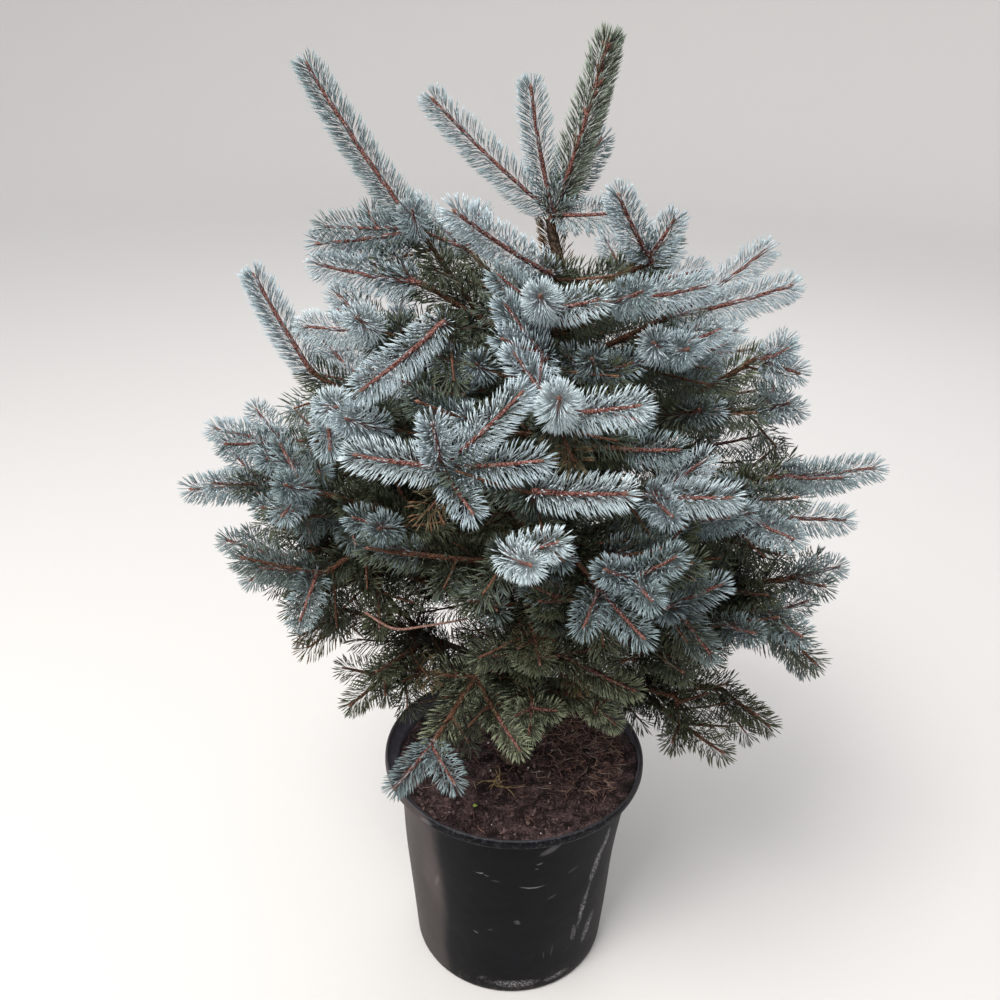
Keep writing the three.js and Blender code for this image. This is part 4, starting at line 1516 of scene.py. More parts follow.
    def _trunk_spray(self) -> Spray:
        """Works out the old brown needles that still stand on the last years of the trunk.

        Returns:
            Their spray.
        """
        height = np.linspace(self.trunk_needles_from, TRUNK_TIP, 8)
        path = Path.through(np.stack((trunk_x(height), np.zeros(8), height), axis=1))
        stretch = Stretch(path, 0, path.reach[-1])
        tones = (Tone.RUST, Tone.OLIVE)
        return Spray(stretch, Style.TRUNK.value, tones, self.trunk_needles_radius, "foliage_crown_top")

    def _axis(self, shoots: Sequence[Shoot]) -> tuple[Path, np.ndarray, np.ndarray]:
        """Joins the yearly shoots of a twig.

        Args:
            shoots: The shoots, the oldest first.

        Returns:
            The twig's smooth axis, the lengths at which its years meet, and its radii there.
        """
        path = Path.through(np.concatenate([shoots[0].points[:1]] + [shoot.points[1:] for shoot in shoots]))
        breaks = path.reach[:: STEPS * PATH_STEPS]
        tip = self.tip_radius + self.tip_growth * (breaks[-1] - breaks[-2])
        radii = []
        for shoot in shoots:
            least = 0 if shoot.age else tip
            radii.append(LIMB_RADII[shoot.age - 1] if shoot.limb else max(AGE_RADII[shoot.age], least))
        thickness = self.stem_thickness - self.order_thinning * shoots[0].order
        return path, breaks, np.array([*radii, tip * self.tip_taper]) * thickness

    def _add_tube(self, points: np.ndarray, radii: np.ndarray, bark: TwigBark, node: str) -> None:
        """Adds a tube of bark with the twigs' number of sides."""
        self.twigs.add(*tube(points, radii, self.twig_sides), TWIG_BARKS.index(bark), node)

    def _add_bark(self, path: Path, ends: np.ndarray, radii: np.ndarray, bark: TwigBark, node: str) -> None:
        """Adds the bark of one year's shoot, swollen a little at its foot.

        Args:
            path: Its twig's axis.
            ends: Lengths along the axis at which it starts and ends.
            radii: Its radii there.
            bark: Its bark.
            node: Node that it stands for a part of.
        """
        reach = np.linspace(*ends, max(3, int((ends[1] - ends[0]) / self.tube_step) + 1))
        points, _ = path.at(reach)
        swelling = 1 + self.twig_swelling * np.exp(-(((reach - ends[0]) / 3.0) ** 2))
        self._add_tube(points, np.interp(reach, ends, radii) * swelling, bark, node)

    def _add_buds(self, path: Path, radius: float, foot: Shoot) -> None:
        """Adds the end bud of a twig, and on the main twigs a smaller bud on each side.

        Args:
            path: The twig's axis.
            radius: The twig's radius at its end.
            foot: Its oldest shoot.
        """
        end, along = path.at(np.array([path.reach[-1]]))
        side, up = frames(along)
        headings = [(along[0], 1.0)]
        if foot.order < 2:
            turn = self.rng.uniform(0, math.pi)
            across = side[0] * math.cos(turn) + up[0] * math.sin(turn)
            leans = (self.side_bud_lean, -self.side_bud_lean)
            headings += [(unit(along[0] + across * lean), self.side_bud) for lean in leans]
        for leaving, scale in headings:
            self._add_bud(end[0], leaving, scale * radius / self.bud_twig_radius, foot.node)

    def _add_bud(self, foot: np.ndarray, leaving: np.ndarray, scale: float, node: str) -> None:
        """Adds one bud.

        Args:
            foot: Point that it leaves.
            leaving: Its heading.
            scale: Its size, as a factor.
            node: Node that it stands for a part of.
        """
        points = np.array([foot + leaving * (s * scale) for s, _ in self.bud_profile])
        radii = np.array([r for _, r in self.bud_profile]) * (self.bud_radius * scale)
        self.buds.add(*tube(points, radii, self.twig_sides), 0, node)

    def _add_leader_buds(self) -> None:
        """Adds the brown buds along the leader and the crowded ones round its tip."""
        leader = self.crown.shoots[0]
        path = Path.through(leader.points)
        scattered = self.rng.uniform(*self.leader_bud_span, self.leader_buds)
        share = np.concatenate((scattered, np.full(self.crown_buds, self.crown_bud_place)))
        points, along = path.at(share * path.reach[-1])
        side, up = frames(along)
        for k in range(len(share)):
            turn = k * GOLDEN_ANGLE
            out = side[k] * math.cos(turn) + up[k] * math.sin(turn)
            scale = self.rng.uniform(*self.leader_bud_scales)
            foot = points[k] + out * self.leader_bud_foot
            leaving = unit(along[k] + out * self.leader_bud_lean)
            self._add_bud(foot, leaving, scale, leader.node)

    def _tones(self, shoot: Shoot, shade: float) -> tuple[Tone, Tone]:
        """Colours of a spray: silvery on high, outer young shoots, dark green on low, inner old ones; partly
        their own colour and partly painted light and shade.

        Args:
            shoot: The spray's shoot.
            shade: How much it stands in the shade.

        Returns:
            Its main tone and the tone of its other needles.
        """
        foot, tip = shoot.points[0], shoot.points[-1]
        aside = math.hypot(tip[0], tip[1])
        high = float(np.clip((tip[2] - LIGHT_HEIGHT[0]) / LIGHT_HEIGHT[1], 0, 1))
        outer = float(np.clip((aside - LIGHT_REACH[0]) / LIGHT_REACH[1], 0, 1))
        steep = (tip[2] - foot[2]) / float(np.linalg.norm(tip - foot))
        light = high * LIGHT_BY_HEIGHT + outer * LIGHT_BY_REACH - LIGHT_BY_ORDER * shoot.order * (1 - high)
        # A steep spray gets painted shade
        light -= LIGHT_BY_SLOPE * steep**4
        frost_and_light = FROST_AND_PAINTED_LIGHT_BY_MASS.get(shoot.mass, 0)
        if aside < FROST_REACH:
            frost_and_light = min(frost_and_light, 0)
        light += frost_and_light - shade + self.rng.normal(0, LIGHT_SPREAD)
        # An unshaded young spray at the top keeps a painted top light
        if high == 1 and shoot.age == 0 and not shade:
            light = max(light, TOP_LIGHT)
        if shoot.is_leader:
            return Tone.LEADER, Tone.SPRUCE
        # Painted light: the lit masses take a lighter green for their older needles and those near the axis
        if shoot.mass in LIT and shoot.order < 2 and (shoot.age or aside < FROST_REACH):
            return Tone.PAINTED_LIT_GREEN, Tone.SPRUCE
        if shoot.age == 0:
            return deal(YOUNG_TONES, light)
        if self.rng.random() < (WITHERED_SHARE if shoot.mass in WITHERED else DRY_SHARE * shoot.age):
            return Tone.OLIVE, Tone.RUST
        # A low main stem's needles get painted light
        main = STEM_LIGHT if shoot.order == 0 else 0
        return deal(OLD_TONES, light * OLD_LIGHT - YEAR_SHADE * (shoot.age - 1) + main * (1 - high))

    def _spray(self, shoot: Shoot, stretch: Stretch, shade: float) -> Spray:
        """Works out the needles of one year's shoot.

        Args:
            shoot: The shoot.
            stretch: The stretch of its twig that bears needles.
            shade: How much it stands in the shade.

        Returns:
            Its spray.
        """
        style, tones = STYLES_BY_AGE[min(shoot.age, 3)].value, self._tones(shoot, shade)
        if shoot.age == 0:
            if tones[0] in SHADED_TONES:
                style = Style.SHADED.value
            if shoot.order == 0:
                style = replace(style, density=style.density + self.main_extra)
            if shoot.is_leader:
                style = Style.LEADER.value
            least, full = self.short_shoot
            style = replace(style, length=style.length * min(1.0, least + stretch.length / full))
        return Spray(stretch, style, tones, AGE_RADII[shoot.age], shoot.node)

    def _add_inner(self, stretch: Stretch, shoot: Shoot) -> None:
        """Adds the short green twigs between the nodes of an older shoot, on its sides in turn.

        Args:
            stretch: The stretch of its twig that bears them.
            shoot: The shoot.
        """
        count = int(stretch.length / self.inner_pitch)
        places = np.arange(count) + self.rng.uniform(*self.inner_places, count)
        reach = stretch.start + places * stretch.length / max(1, count)
        for k in range(count):
            point, along = (item[0] for item in stretch.path.at(reach[k : k + 1]))
            azimuth = math.degrees(math.atan2(along[1], along[0]))
            rise = math.degrees(math.asin(along[2]))
            roll = self.inner_rolls[k % 3]
            roll += self.rng.uniform(-self.inner_roll_spread, self.inner_roll_spread)
            leaving = side_heading(azimuth, rise, self.rng.uniform(*self.inner_spread), roll)
            corners = axis_points(point, *leaving, TIP_LIFT, self.rng.uniform(*self.inner_lengths))
            end = corners[-1]
            if end[2] < SOIL_LEVEL + self.inner_clear and np.hypot(*end[:2]) < RIM_CLEAR_RADIUS:
                continue
            own = Path.through(corners)
            centre, _ = own.at(np.linspace(0, own.reach[-1], 4))
            bark = tube(centre, np.linspace(*self.inner_radii, 4), self.inner_sides)
            self.twigs.add(*bark, TWIG_BARKS.index(TwigBark.OLD), shoot.node)
            tones = self._tones(Shoot(0, corners, 1, 2, shoot.mass), 0)
            needles = Stretch(own, self.inner_bare, own.reach[-1])
            spray = Spray(needles, Style.INNER.value, tones, self.inner_twig_radius, shoot.node)
            spray.add_to(self.inner, self.rng)


@dataclass
class Bark:
    """Trunk and boughs with the relief of their bark."""

    crown: Crown
    trunk_sides: int = 28
    trunk_step: float = 3
    trunk_relief: tuple[tuple[float, float], ...] = ((0.75, 0.17), (0.35, 0.5))
    trunk_swelling: float = 1.6
    bough_sides: int = 14
    bough_step: float = 2.5
    bough_relief: tuple[tuple[float, float], ...] = ((0.4, 0.35), (0.25, 0.9))
    collar: float = 0.5
    collar_length: float = 5
    flake_tallness: float = 0.6

    def build(self) -> bpy.types.Object:
        """Builds the trunk and every limb as one piece.

        Returns:
            The piece.
        """
        buffer = MeshBuffer()
        nodes = ["trunk"]
        self._add_trunk(buffer)
        for shoot in self.crown.shoots:
            if shoot.limb:
                self._add_limb(buffer, shoot)
                nodes.append(f"bough_{shoot.mass}")
        finishes = [
            BarkFinish("bark_trunk", (0.03, 0.02, 0.015), (0.13, 0.085, 0.06), 190, 0.0012),
            BarkFinish("bark_bough", (0.05, 0.026, 0.017), (0.15, 0.08, 0.05), 320, 0.0008),
        ]
        piece = buffer.build("bark", finishes, True)
        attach(piece, "root")
        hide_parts(*nodes)
        return piece

    def _rough(
        self, radii: np.ndarray, points: np.ndarray, relief: Sequence[tuple[float, float]]
    ) -> np.ndarray:
        """Adds the height of the bark's flakes to some radii.

        Args:
            radii: The radii.
            points: Points on the smooth bark.
            relief: Depth of each layer of flakes, and how many there are a millimetre.

        Returns:
            The uneven radii.
        """
        for depth, scale in relief:
            places = [Vector((x, y, z * self.flake_tallness)) * scale for x, y, z in points.reshape(-1, 3)]
            heights = np.array([noise.fractal(place, 0.9, 2.1, 3) for place in places])
            radii = radii + heights.reshape(radii.shape) * depth
        return radii

    def _add_trunk(self, buffer: MeshBuffer) -> None:
        """Adds the trunk, swollen where boughs leave it.

        Args:
            buffer: Buffer that takes it.
        """
        height = np.arange(SOIL_LEVEL + 0.3, TRUNK_TIP + 4, self.trunk_step)
        points = np.stack((trunk_x(height), np.zeros(len(height)), height), axis=1)
        azimuth = ring_angles(self.trunk_sides) + math.pi / 2
        radii = np.tile(trunk_radius(height)[:, None], (1, self.trunk_sides))
        for bough in self.crown.boughs:
            if not bough.parent and bough.length:
                turn = np.cos(azimuth - math.radians(bough.azimuth))[None]
                rise = np.exp(-(((height - bough.height - 4) / 9) ** 2))[:, None]
                radii += rise * np.maximum(turn, 0) ** 3 * self.trunk_swelling
        ring = np.stack((np.cos(azimuth), np.sin(azimuth)), axis=1)
        level = np.tile(height[:, None, None], (1, self.trunk_sides, 1))
        spots = np.concatenate((points[:, None, :2] + ring[None] * radii[..., None], level), axis=2)
        radii = self._rough(radii, spots, self.trunk_relief)
        buffer.add(*tube(points, radii, self.trunk_sides, level=True), 0)

    def _add_limb(self, buffer: MeshBuffer, shoot: Shoot) -> None:
        """Adds a limb with a collar at its foot.

        Args:
            buffer: Buffer that takes it.
            shoot: The limb's shoot.
        """
        path = Path.through(shoot.points)
        reach = np.arange(0, path.reach[-1] + self.bough_step, self.bough_step)
        points, _ = path.at(np.minimum(reach, path.reach[-1]))
        share = np.minimum(reach / path.reach[-1], 1)
        thick, thin = LIMB_RADII[shoot.age - 1], AGE_RADII[shoot.age - 1]
        radius = thick + (thin - thick) * share
        past = np.maximum(reach - float(trunk_radius(points[0, 2])), 0)
        radius = radius * (1 + self.collar * np.exp(-past / self.collar_length))
        radii = np.tile(radius[:, None], (1, self.bough_sides))
        smooth, _ = tube(points, radii, self.bough_sides)
        buffer.add(*tube(points, self._rough(radii, smooth, self.bough_relief), self.bough_sides), 1)


@dataclass(frozen=True)
class Dent:
    """A shallow hollow in the pot's wall: its place, its reach in degrees and in height, and its depth."""

    azimuth: float
    height: float
    reach: float
    tall: float
    depth: float

    def depths(self, angle: np.ndarray, height: np.ndarray) -> np.ndarray:
        """Works out how deep it is.

        Args:
            angle: Angles round the pot, in radians.
            height: Heights, one in each row.

        Returns:
            Depths, in rows of heights.
        """
        turn = np.abs(np.angle(np.exp(1j * (angle - math.radians(self.azimuth)))))
        round_it = np.exp(-((turn / math.radians(self.reach)) ** 2))[None]
        return self.depth * round_it * np.exp(-(((height - self.height) / self.tall) ** 2))


@dataclass
class Pot:
    """The nursery pot: a turned shell with a lip, a little out of round.

    slack is how far its wall falls inside its true circle, and waves are the turns, the start and the
    depth of each wave round it.
    """

    sides: int = 180
    slack: float = 1.1
    waves: tuple[tuple[float, float, float], ...] = ((2, 0.6, 0.45), (3, -1.1, 0.3), (7, 0, 0.12))
    dents: tuple[Dent, ...] = (
        Dent(-140, 118, 15, 60, 2.2), Dent(-162, 205, 24, 45, 3.6), Dent(-6, 145, 24, 70, 3.8),
        Dent(-98, 60, 12, 30, 0.8), Dent(-60, 190, 14, 40, 0.9), Dent(95, 150, 30, 60, 2.0),
    )
    inner_rows: int = 12
    scuffs: tuple[Scuff, ...] = (
        Scuff(-73, 225, 10, 30, -62, 0.3, 0, 0.25),
        Scuff(-105.5, 190, 1.8, 10, -80, 0.8, -1),
        Scuff(-102.5, 188, 1.5, 7, -102, 0.6, -1),
        Scuff(-77.5, 207, 2.2, 9, -72, 0.5, -1),
        Scuff(-79, 200, 1.6, 5, -100, 0.5),
        Scuff(-80.5, 172, 2, 30, -94, 0.75, -3, 0.3),
        Scuff(-87, 119, 7, 10, 20, 0.4, 0, 0.8),
        Scuff(-108.5, 95, 1.6, 8, -112, 0.7),
        Scuff(-101, 104, 1.8, 6, -84, 0.4),
        Scuff(-43.5, 171, 14, 66, -14, 1.3, 3, 1),
        Scuff(-38, 200, 12, 34, -8, 1.1, -1, 1),
        Scuff(-49, 112, 9, 78, -8, 1.1, 3, 1),
        Scuff(-41, 66, 16, 52, -16, 1.2, 2, 1),
        Scuff(-53, 76, 9, 34, 6, 0.8, 0, 1),
        Scuff(-66.5, 62, 1.2, 24, 0, 0.3),
        Scuff(-71, 58, 1.2, 16, 2, 0.25),
        Scuff(-59.5, 183, 5, 18, -70, 0.12, 0, 0.2),
        Scuff(-70, 152, 4, 14, -62, 0.12, 0, 0.2),
        Scuff(-98, 182, 3, 12, -96, 0.15, 0, 0.4),
        Scuff(-132, 145, 7, 30, -24, 0.14, 0, 0.1),
        Scuff(-86, 15, 15, 60, -90, 1, 0, 1),
        Scuff(-106, 20, 7, 16, -62, 0.5, 0, 1),
        Scuff(-61, 14, 10, 36, -84, 1, 0, 1),
        Scuff(-129, 246, 8, 18, -90, 0.3, 0, 0.4),
        Scuff(-46, 246, 3, 18, -90, 0.3, 0, 1),
        Scuff(40, 190, 10, 34, -64, 0.3, 0, 0.3),
        Scuff(120, 90, 2, 60, 8, 0.6, 2),
        Scuff(160, 205, 2, 26, -92, 0.7, -2),
        Scuff(8, 120, 2, 44, -12, 0.6, 1),
        Scuff(70, 16, 9, 60, -90, 0.8, 0, 1),
    )

    def _profile(self) -> list[tuple[float, float]]:
        """Works out the shell's section.

        Returns:
            Radius and height of its corners, from the middle of the underside to that of the floor.
        """
        foot, body, lip = POT_BASE_RADIUS, POT_BODY_RADIUS, POT_LIP_RADIUS
        return [
            (0, 0), (60, 0), (foot - 4, 0), (foot - 2.2, 0.4), (foot - 0.8, 1.6), (foot, 3.6),
            *((body_radius(z), z) for z in (*range(6, 238, 8), LIP_FOOT - 1.4)),
            (body + 0.6, LIP_FOOT - 0.4), (body + 3, LIP_FOOT), (lip - 2.4, LIP_FOOT + 0.2),
            (lip - 0.6, LIP_FOOT + 1.2), (lip, LIP_FOOT + 3), (lip - 0.1, LIP_FOOT + 7),
            (lip - 0.4, POT_HEIGHT - 1.6), (lip - 1.2, POT_HEIGHT - 0.4), (lip - 2.2, POT_HEIGHT),
            (lip - 3.2, POT_HEIGHT - 0.6), (lip - 3.8, POT_HEIGHT - 2.5), (lip - 5.4, LIP_FOOT + 4),
            (body - POT_WALL + 1.2, LIP_FOOT),
            *((wall_inside(z), z) for z in (LIP_FOOT - 3, 225, 200, 150, 100, 50, 8, POT_FLOOR)),
            (60, POT_FLOOR), (0, POT_FLOOR),
        ]

    def build(self) -> bpy.types.Object:
        """Builds the shell.

        Returns:
            The piece.
        """
        profile = np.array(self._profile())
        angle, height = ring_angles(self.sides), profile[:, 1:]
        wave = sum(np.cos(turns * angle + start)[None] * depth for turns, start, depth in self.waves)
        hollow = sum(dent.depths(angle, height) for dent in self.dents)
        hollow = hollow * np.clip((LIP_FOOT + 2 - height) / 14, 0, 1)
        loose = self.slack * (0.85 - wave) * 0.6 * np.clip(height / 60, 0, 1)
        radius = np.maximum(profile[:, :1] - loose - hollow * np.clip(height / 20, 0, 1), 0)
        faces = ring_faces(len(profile), self.sides)
        inside = np.arange(len(faces)) >= len(faces) - self.inner_rows * self.sides
        buffer = MeshBuffer()
        buffer.add(ring_points(radius, height, self.sides), faces, inside)
        # The inner wall is far lighter than the black plastic: a painted lavender reflection
        inner = SpeckFinish("pot_inside_painted_sheen", (0.05, 0.046, 0.062), (0.085, 0.08, 0.1), 40)
        piece = buffer.build("pot_shell", [PotFinish("pot_plastic", scuffs=self.scuffs), inner], True)
        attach(piece, "root")
        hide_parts("pot")
        return piece


@dataclass
class SoilBed:
    """The potting mix, banked up to the lip at the right, with its crumbs, litter and a dry tuft."""

    seed: int = 7
    bank: float = 9
    level_reach: float = 40
    lump_scale: float = 0.055
    lump_height: float = 3.4
    rings: int = 64
    spokes: int = 200
    wall_gap: float = 0.6
    skirt_drops: tuple[float, float] = (12, 38)
    crumbs: int = 1500
    crumb_lengths: tuple[float, float] = (1.2, 4.2)
    crumb_breadths: tuple[float, float] = (0.5, 0.9)
    crumb_heights: tuple[float, float] = (0.35, 0.6)
    bark_share: float = 0.22
    litter: int = 760
    needle_lengths: tuple[float, float] = (9, 17)
    straw_lengths: tuple[float, float] = (22, 36)
    straw_every: int = 30
    litter_shares: tuple[float, float, float] = (0.6, 0.28, 0.12)
    grains: int = 26
    grain_sizes: tuple[float, float] = (0.6, 1.5)
    trunk_clear: float = 19
    tuft_place: tuple[float, float] = (-18.0, -44.0)
    tuft_blades: int = 11
    blade_lengths: tuple[float, float] = (12, 32)
    leaflet_place: tuple[float, float] = (-42.0, -76.0)

    def __post_init__(self) -> None:
        """Starts the seeded numbers that scatter what lies on the bed."""
        self.rng = np.random.default_rng(self.seed)

    def surface(self, x: float, y: float) -> float:
        """Works out how high the soil stands.

        Args:
            x: Where, along X.
            y: Where, along Y.

        Returns:
            The height.
        """
        r = math.hypot(x, y)
        edge = wall_inside(SOIL_EDGE)
        fall = min(1, max(0, (r - self.level_reach) / (edge - self.level_reach)))
        level = SOIL_LEVEL + (SOIL_EDGE - SOIL_LEVEL) * fall
        # The bank rises to the right and a little to the front
        level += self.bank * max(0, x * 0.94 - y * 0.34 + 30) / edge * min(1, r / edge) ** 2
        lumps = noise.fractal(Vector((x, y, 3)) * self.lump_scale, 0.6, 2.2, 5) * self.lump_height
        return level + lumps * min(1, max(0, edge - r) / 8 + 0.35) - 0.8

    def build(self) -> list[bpy.types.Object]:
        """Builds the bed and what lies on it.

        Returns:
            The pieces.
        """
        pieces = [self._bed(), self._scatter_crumbs(), self._scatter_litter(), self._tuft()]
        for piece in pieces:
            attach(piece, "root")
            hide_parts("soil")
        return pieces

    def _bed(self) -> bpy.types.Object:
        """Builds the soil's uneven top, with a skirt down the pot's wall.

        Returns:
            The piece.
        """
        edge = wall_inside(SOIL_EDGE) - self.wall_gap
        angle = ring_angles(self.spokes)
        rims = [self.surface(edge * math.cos(a), edge * math.sin(a)) for a in angle]
        spread = np.interp(rims, (LIP_FOOT - 1, LIP_FOOT + 4), (edge, POT_LIP_RADIUS - 6))
        top = np.linspace(0, 1, self.rings)[:, None] ** 0.8 * spread
        skirt = np.tile(((edge - 5,), (edge * 0.88,)), (1, self.spokes))
        radii = np.concatenate((top, skirt))
        x, y = radii * np.cos(angle), radii * np.sin(angle)
        z = np.array([self.surface(a, b) for a, b in zip(x.ravel(), y.ravel())]).reshape(x.shape)
        z[-2] = np.minimum(z[-3] - self.skirt_drops[0], LIP_FOOT - 6)
        z[-1] = z[-2] - self.skirt_drops[1]
        buffer = MeshBuffer()
        buffer.add(ring_points(radii, z, self.spokes), ring_faces(len(z), self.spokes, spreading=True))
        return buffer.build("soil_bed", [SoilFinish("potting_mix")], True)

    def _spot(self, margin: float = 4, bias: bool = False) -> tuple[float, float]:
        """Picks a place on the soil.

        Args:
            margin: Distance that it keeps to the pot's wall.
            bias: Whether it lies more often at the right and the back.

        Returns:
            Its x and y.
        """
        edge = wall_inside(SOIL_EDGE) - margin
        while True:
            x, y = self.rng.uniform(-edge, edge, 2)
            wanted = max(0.04, 0.3 + 0.9 * (x * 0.6 + y * 0.8) / edge)
            free = math.hypot(x, y) < edge and math.hypot(x - 2, y) > self.trunk_clear
            if free and (not bias or self.rng.random() < wanted):
                return float(x), float(y)

    def _lump(self, place: tuple[float, float], lift: float, size: np.ndarray) -> np.ndarray:
        """Shapes a small uneven lump that lies on the soil.

        Args:
            place: Its x and y.
            lift: How far its middle lies over the soil.
            size: Its half sizes.

        Returns:
            Its six corners.
        """
        angle = self.rng.uniform(0, 6.28)
        axis = Vector(self.rng.normal(0, 1, 3)).normalized()
        turn = np.array(Matrix.Rotation(angle, 3, axis))
        centre = np.array((*place, self.surface(*place) + lift))
        return (LUMP_CORNERS * self.rng.uniform(0.7, 1.2, (6, 1)) * size) @ turn.T + centre

    def _scatter_crumbs(self) -> bpy.types.Object:
        """Scatters crumbs of bark and peat, with some pale grains among them.

        Returns:
            The piece.
        """
        buffer = MeshBuffer()
        for _ in range(self.crumbs):
            place = self._spot()
            length = self.rng.uniform(*self.crumb_lengths)
            breadth, height = self.rng.uniform(*self.crumb_breadths), self.rng.uniform(*self.crumb_heights)
            lump = self._lump(place, 0.2, length * np.array((1.0, breadth, height)))
            buffer.add(lump, LUMP_FACES, int(self.rng.random() < self.bark_share))
        for _ in range(self.grains):
            place = self._spot()
            lump = self._lump(place, 1, self.rng.uniform(*self.grain_sizes) * np.ones(3))
            buffer.add(lump, LUMP_FACES, 2)
        finishes = [
            SpeckFinish("crumb_dark", (0.02, 0.012, 0.012), (0.1, 0.062, 0.06), 400),
            SpeckFinish("crumb_bark", (0.08, 0.05, 0.046), (0.22, 0.145, 0.13), 400),
            SpeckFinish("grain_pale", (0.5, 0.48, 0.45), (0.75, 0.73, 0.7), 400),
        ]
        return buffer.build("soil_crumbs", finishes, False)

    def _blade(self, points: np.ndarray, radius: float) -> tuple[np.ndarray, np.ndarray]:
        """A thin blade or needle along some points, pointed at its far end."""
        return tube(points, radius * np.concatenate((np.ones(len(points) - 1), [0.1])), 3)

    def _scatter_litter(self) -> bpy.types.Object:
        """Scatters shed needles that lie crosswise on the soil, and a few longer straws.

        Returns:
            The piece.
        """
        buffer = MeshBuffer()
        for k in range(self.litter):
            x, y = self._spot(9, bias=True)
            length = self.rng.uniform(*(self.needle_lengths if k % self.straw_every else self.straw_lengths))
            azimuth, tilt = self.rng.uniform(0, 2 * math.pi), self.rng.uniform(-0.05, 0.28)
            out = np.array((math.cos(azimuth), math.sin(azimuth), math.tan(tilt)))
            middle = np.array((x, y, self.surface(x, y) + 1.3))
            bow = np.array((-out[1], out[0], 0.0)) * self.rng.uniform(-0.08, 0.08) * length
            points = np.stack((middle - out * length / 2, middle + bow, middle + out * length / 2))
            for point in points:
                point[2] = max(point[2], self.surface(point[0], point[1]) + 0.5)
            if (np.hypot(points[:, 0], points[:, 1]) < wall_inside(SOIL_EDGE) - 2).all():
                blade = self._blade(points, self.rng.uniform(0.35, 0.55))
                buffer.add(*blade, int(self.rng.choice(3, p=self.litter_shares)))
        finishes = [
            SpeckFinish("litter_brown", (0.13, 0.068, 0.055), (0.26, 0.145, 0.115)),
            SpeckFinish("litter_tan", (0.24, 0.15, 0.11), (0.42, 0.28, 0.21)),
            SpeckFinish("litter_grey", (0.24, 0.2, 0.185), (0.42, 0.36, 0.33)),
        ]
        return buffer.build("soil_litter", finishes, False)

    def _tuft(self) -> bpy.types.Object:
        """Builds a dry tuft of grass and a green leaflet beside it.

        Returns:
            The piece.
        """
        buffer = MeshBuffer()
        steps = np.linspace(0, 1, 7)
        for _ in range(self.tuft_blades):
            azimuth, length = self.rng.uniform(0, 2 * math.pi), self.rng.uniform(*self.blade_lengths)
            lift, bow = self.rng.uniform(0.1, 0.6), self.rng.uniform(-0.9, 0.9)
            foot = np.array(self.tuft_place) + self.rng.uniform(-5, 5, 2)
            x = foot[0] + np.cos(azimuth + bow * steps) * length * steps
            y = foot[1] + np.sin(azimuth + bow * steps) * length * steps
            z = self.surface(*self.tuft_place) + length * (lift * steps - (lift - 0.04) * steps**2)
            ground = np.array([self.surface(a, b) for a, b in zip(x, y)]) + 0.6
            buffer.add(*self._blade(np.stack((x, y, np.maximum(z, ground)), axis=1), 0.5), 0)
        k = np.arange(4)
        x, y = self.leaflet_place
        leaf = np.stack((x + 1.6 * k, y - 1.0 * k, self.surface(x, y) + 2 + 0.8 * k), axis=1)
        buffer.add(*tube(leaf, np.array((0.4, 1.8, 1.6, 0.1)), 5), 1)
        finishes = [
            SpeckFinish("straw", (0.24, 0.16, 0.07), (0.42, 0.31, 0.15)),
            SpeckFinish("leaflet", (0.16, 0.27, 0.04), (0.3, 0.42, 0.09)),
        ]
        return buffer.build("soil_tuft", finishes, True)


@dataclass(frozen=True)
class PhotoCamera:
    """The photograph's camera, found from the ellipses of the pot's rim and base."""

    position: tuple[float, float, float] = (-21.1, -862.3, 966.4)
    pitch: float = 25.78
    roll: float = 1.25
    lens: float = 36
    sensor: float = 36

    def build(self) -> None:
        """Makes the camera and gives it to the scene."""
        data = bpy.data.cameras.new("camera")
        data.lens, data.sensor_width = self.lens, self.sensor
        camera = link("camera", data)
        tilt = Matrix.Rotation(math.radians(90 - self.pitch), 4, "X")
        turn = tilt @ Matrix.Rotation(math.radians(self.roll), 4, "Z")
        camera.matrix_world = Matrix.Translation(Vector(self.position) * MM) @ turn
        bpy.context.scene.camera = camera


@dataclass(frozen=True)
class Sun:
    """Even soft light over the whole floor."""

    toward: tuple[float, float, float] = (0.3, 0.5, -1)
    spread: float = 60
    strength: float = 1.0

    def build(self) -> None:
        """Makes the light."""
        data = bpy.data.lights.new("sun", "SUN")
        data.energy, data.angle = self.strength, math.radians(self.spread)
        lamp = link("sun", data)
        lamp.rotation_euler = Vector(self.toward).to_track_quat("-Z", "Y").to_euler()


@dataclass(frozen=True)
class Lamp:
    """A large soft light."""

    name: str
    position: tuple[float, float, float]
    size: float
    power: float
    colour: Colour = (1, 1, 1)
    aim: tuple[float, float, float] = (0, 0, 0.5)

    def build(self) -> None:
        """Makes the light, aimed at the middle of the plant."""
        data = bpy.data.lights.new(self.name, "AREA")
        data.size, data.energy, data.color = self.size, self.power, self.colour
        lamp = link(self.name, data)
        lamp.location = self.position
        lamp.rotation_euler = (Vector(self.aim) - lamp.location).to_track_quat("-Z", "Y").to_euler()


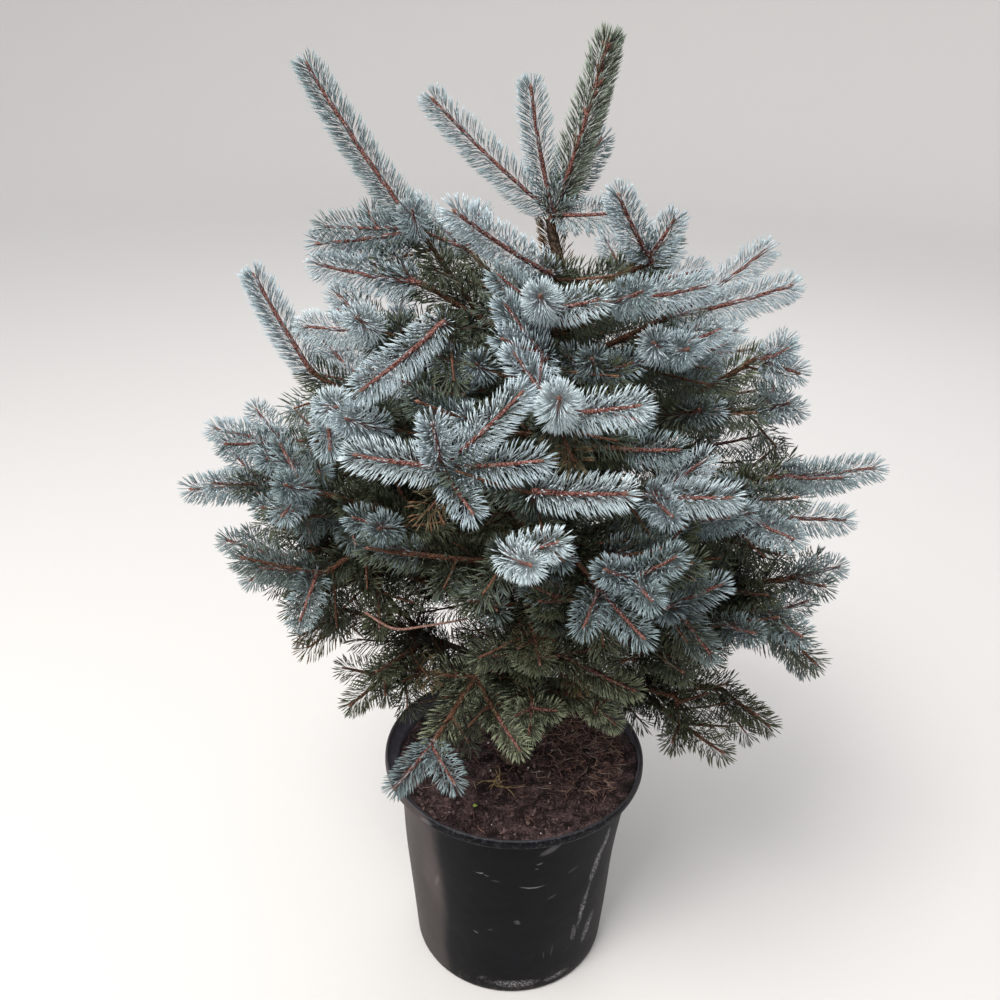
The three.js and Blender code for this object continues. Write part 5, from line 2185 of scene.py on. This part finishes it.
@dataclass
class Studio:
    """Plain pale floor and soft light."""

    flat_radius: float = 5
    sweep_radius: float = 3
    sweep_angle: float = 80
    sweep_rings: int = 16
    wall: float = 2.6
    sides: int = 96
    drop: float = 0.0004
    sky: Colour = (0.86, 0.88, 0.92)
    sky_strength: float = 0.58
    sun: Sun = Sun()
    lamps: tuple[Lamp, ...] = (
        Lamp("key", (-0.9, -1.4, 2.9), 1.2, 74, (1.0, 0.985, 0.96)),
        Lamp("side", (-2.4, -0.5, 0.9), 1.0, 13, (1.0, 0.93, 0.86)),
        Lamp("back", (0.6, 2.2, 2.4), 1.8, 16, (0.97, 0.98, 1.0)),
    )

    def build(self) -> None:
        """Makes the floor, which sweeps up far from the plant, the lamps and the sky."""
        turns = np.radians(np.linspace(0, self.sweep_angle, self.sweep_rings))
        radii = np.concatenate(([0.0], self.flat_radius + self.sweep_radius * np.sin(turns))) / MM
        height = np.concatenate(([0.0], self.sweep_radius * (1 - np.cos(turns)))) / MM
        radii, height = np.append(radii, radii[-1]), np.append(height, height[-1] + self.wall / MM)
        points = ring_points(radii[:, None], height[:, None], self.sides)
        buffer = MeshBuffer()
        buffer.add(points, ring_faces(len(radii), self.sides, spreading=True))
        floor = buffer.build("floor", [FloorFinish("floor_plain")], True)
        floor.location.z = -self.drop
        for light in (self.sun, *self.lamps):
            light.build()
        world = bpy.data.worlds.new("studio")
        world.use_nodes = True
        background = world.node_tree.nodes["Background"]
        background.inputs["Color"].default_value = solid(self.sky)
        background.inputs["Strength"].default_value = self.sky_strength
        bpy.context.scene.world = world
        bpy.context.scene.view_settings.view_transform = "Standard"


def main() -> None:
    """Loads the frame and builds every part of the scene in turn."""
    logging.basicConfig(level=logging.INFO, format="%(message)s")
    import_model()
    PhotoCamera().build()
    Studio().build()
    crown = Crown(BOUGHS)
    crown.grow()
    log.info("crown: %d shoots", len(crown.shoots))
    Pot().build()
    SoilBed().build()
    Bark(crown).build()
    Foliage(crown).build()
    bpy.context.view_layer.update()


if __name__ == "__main__":
    main()
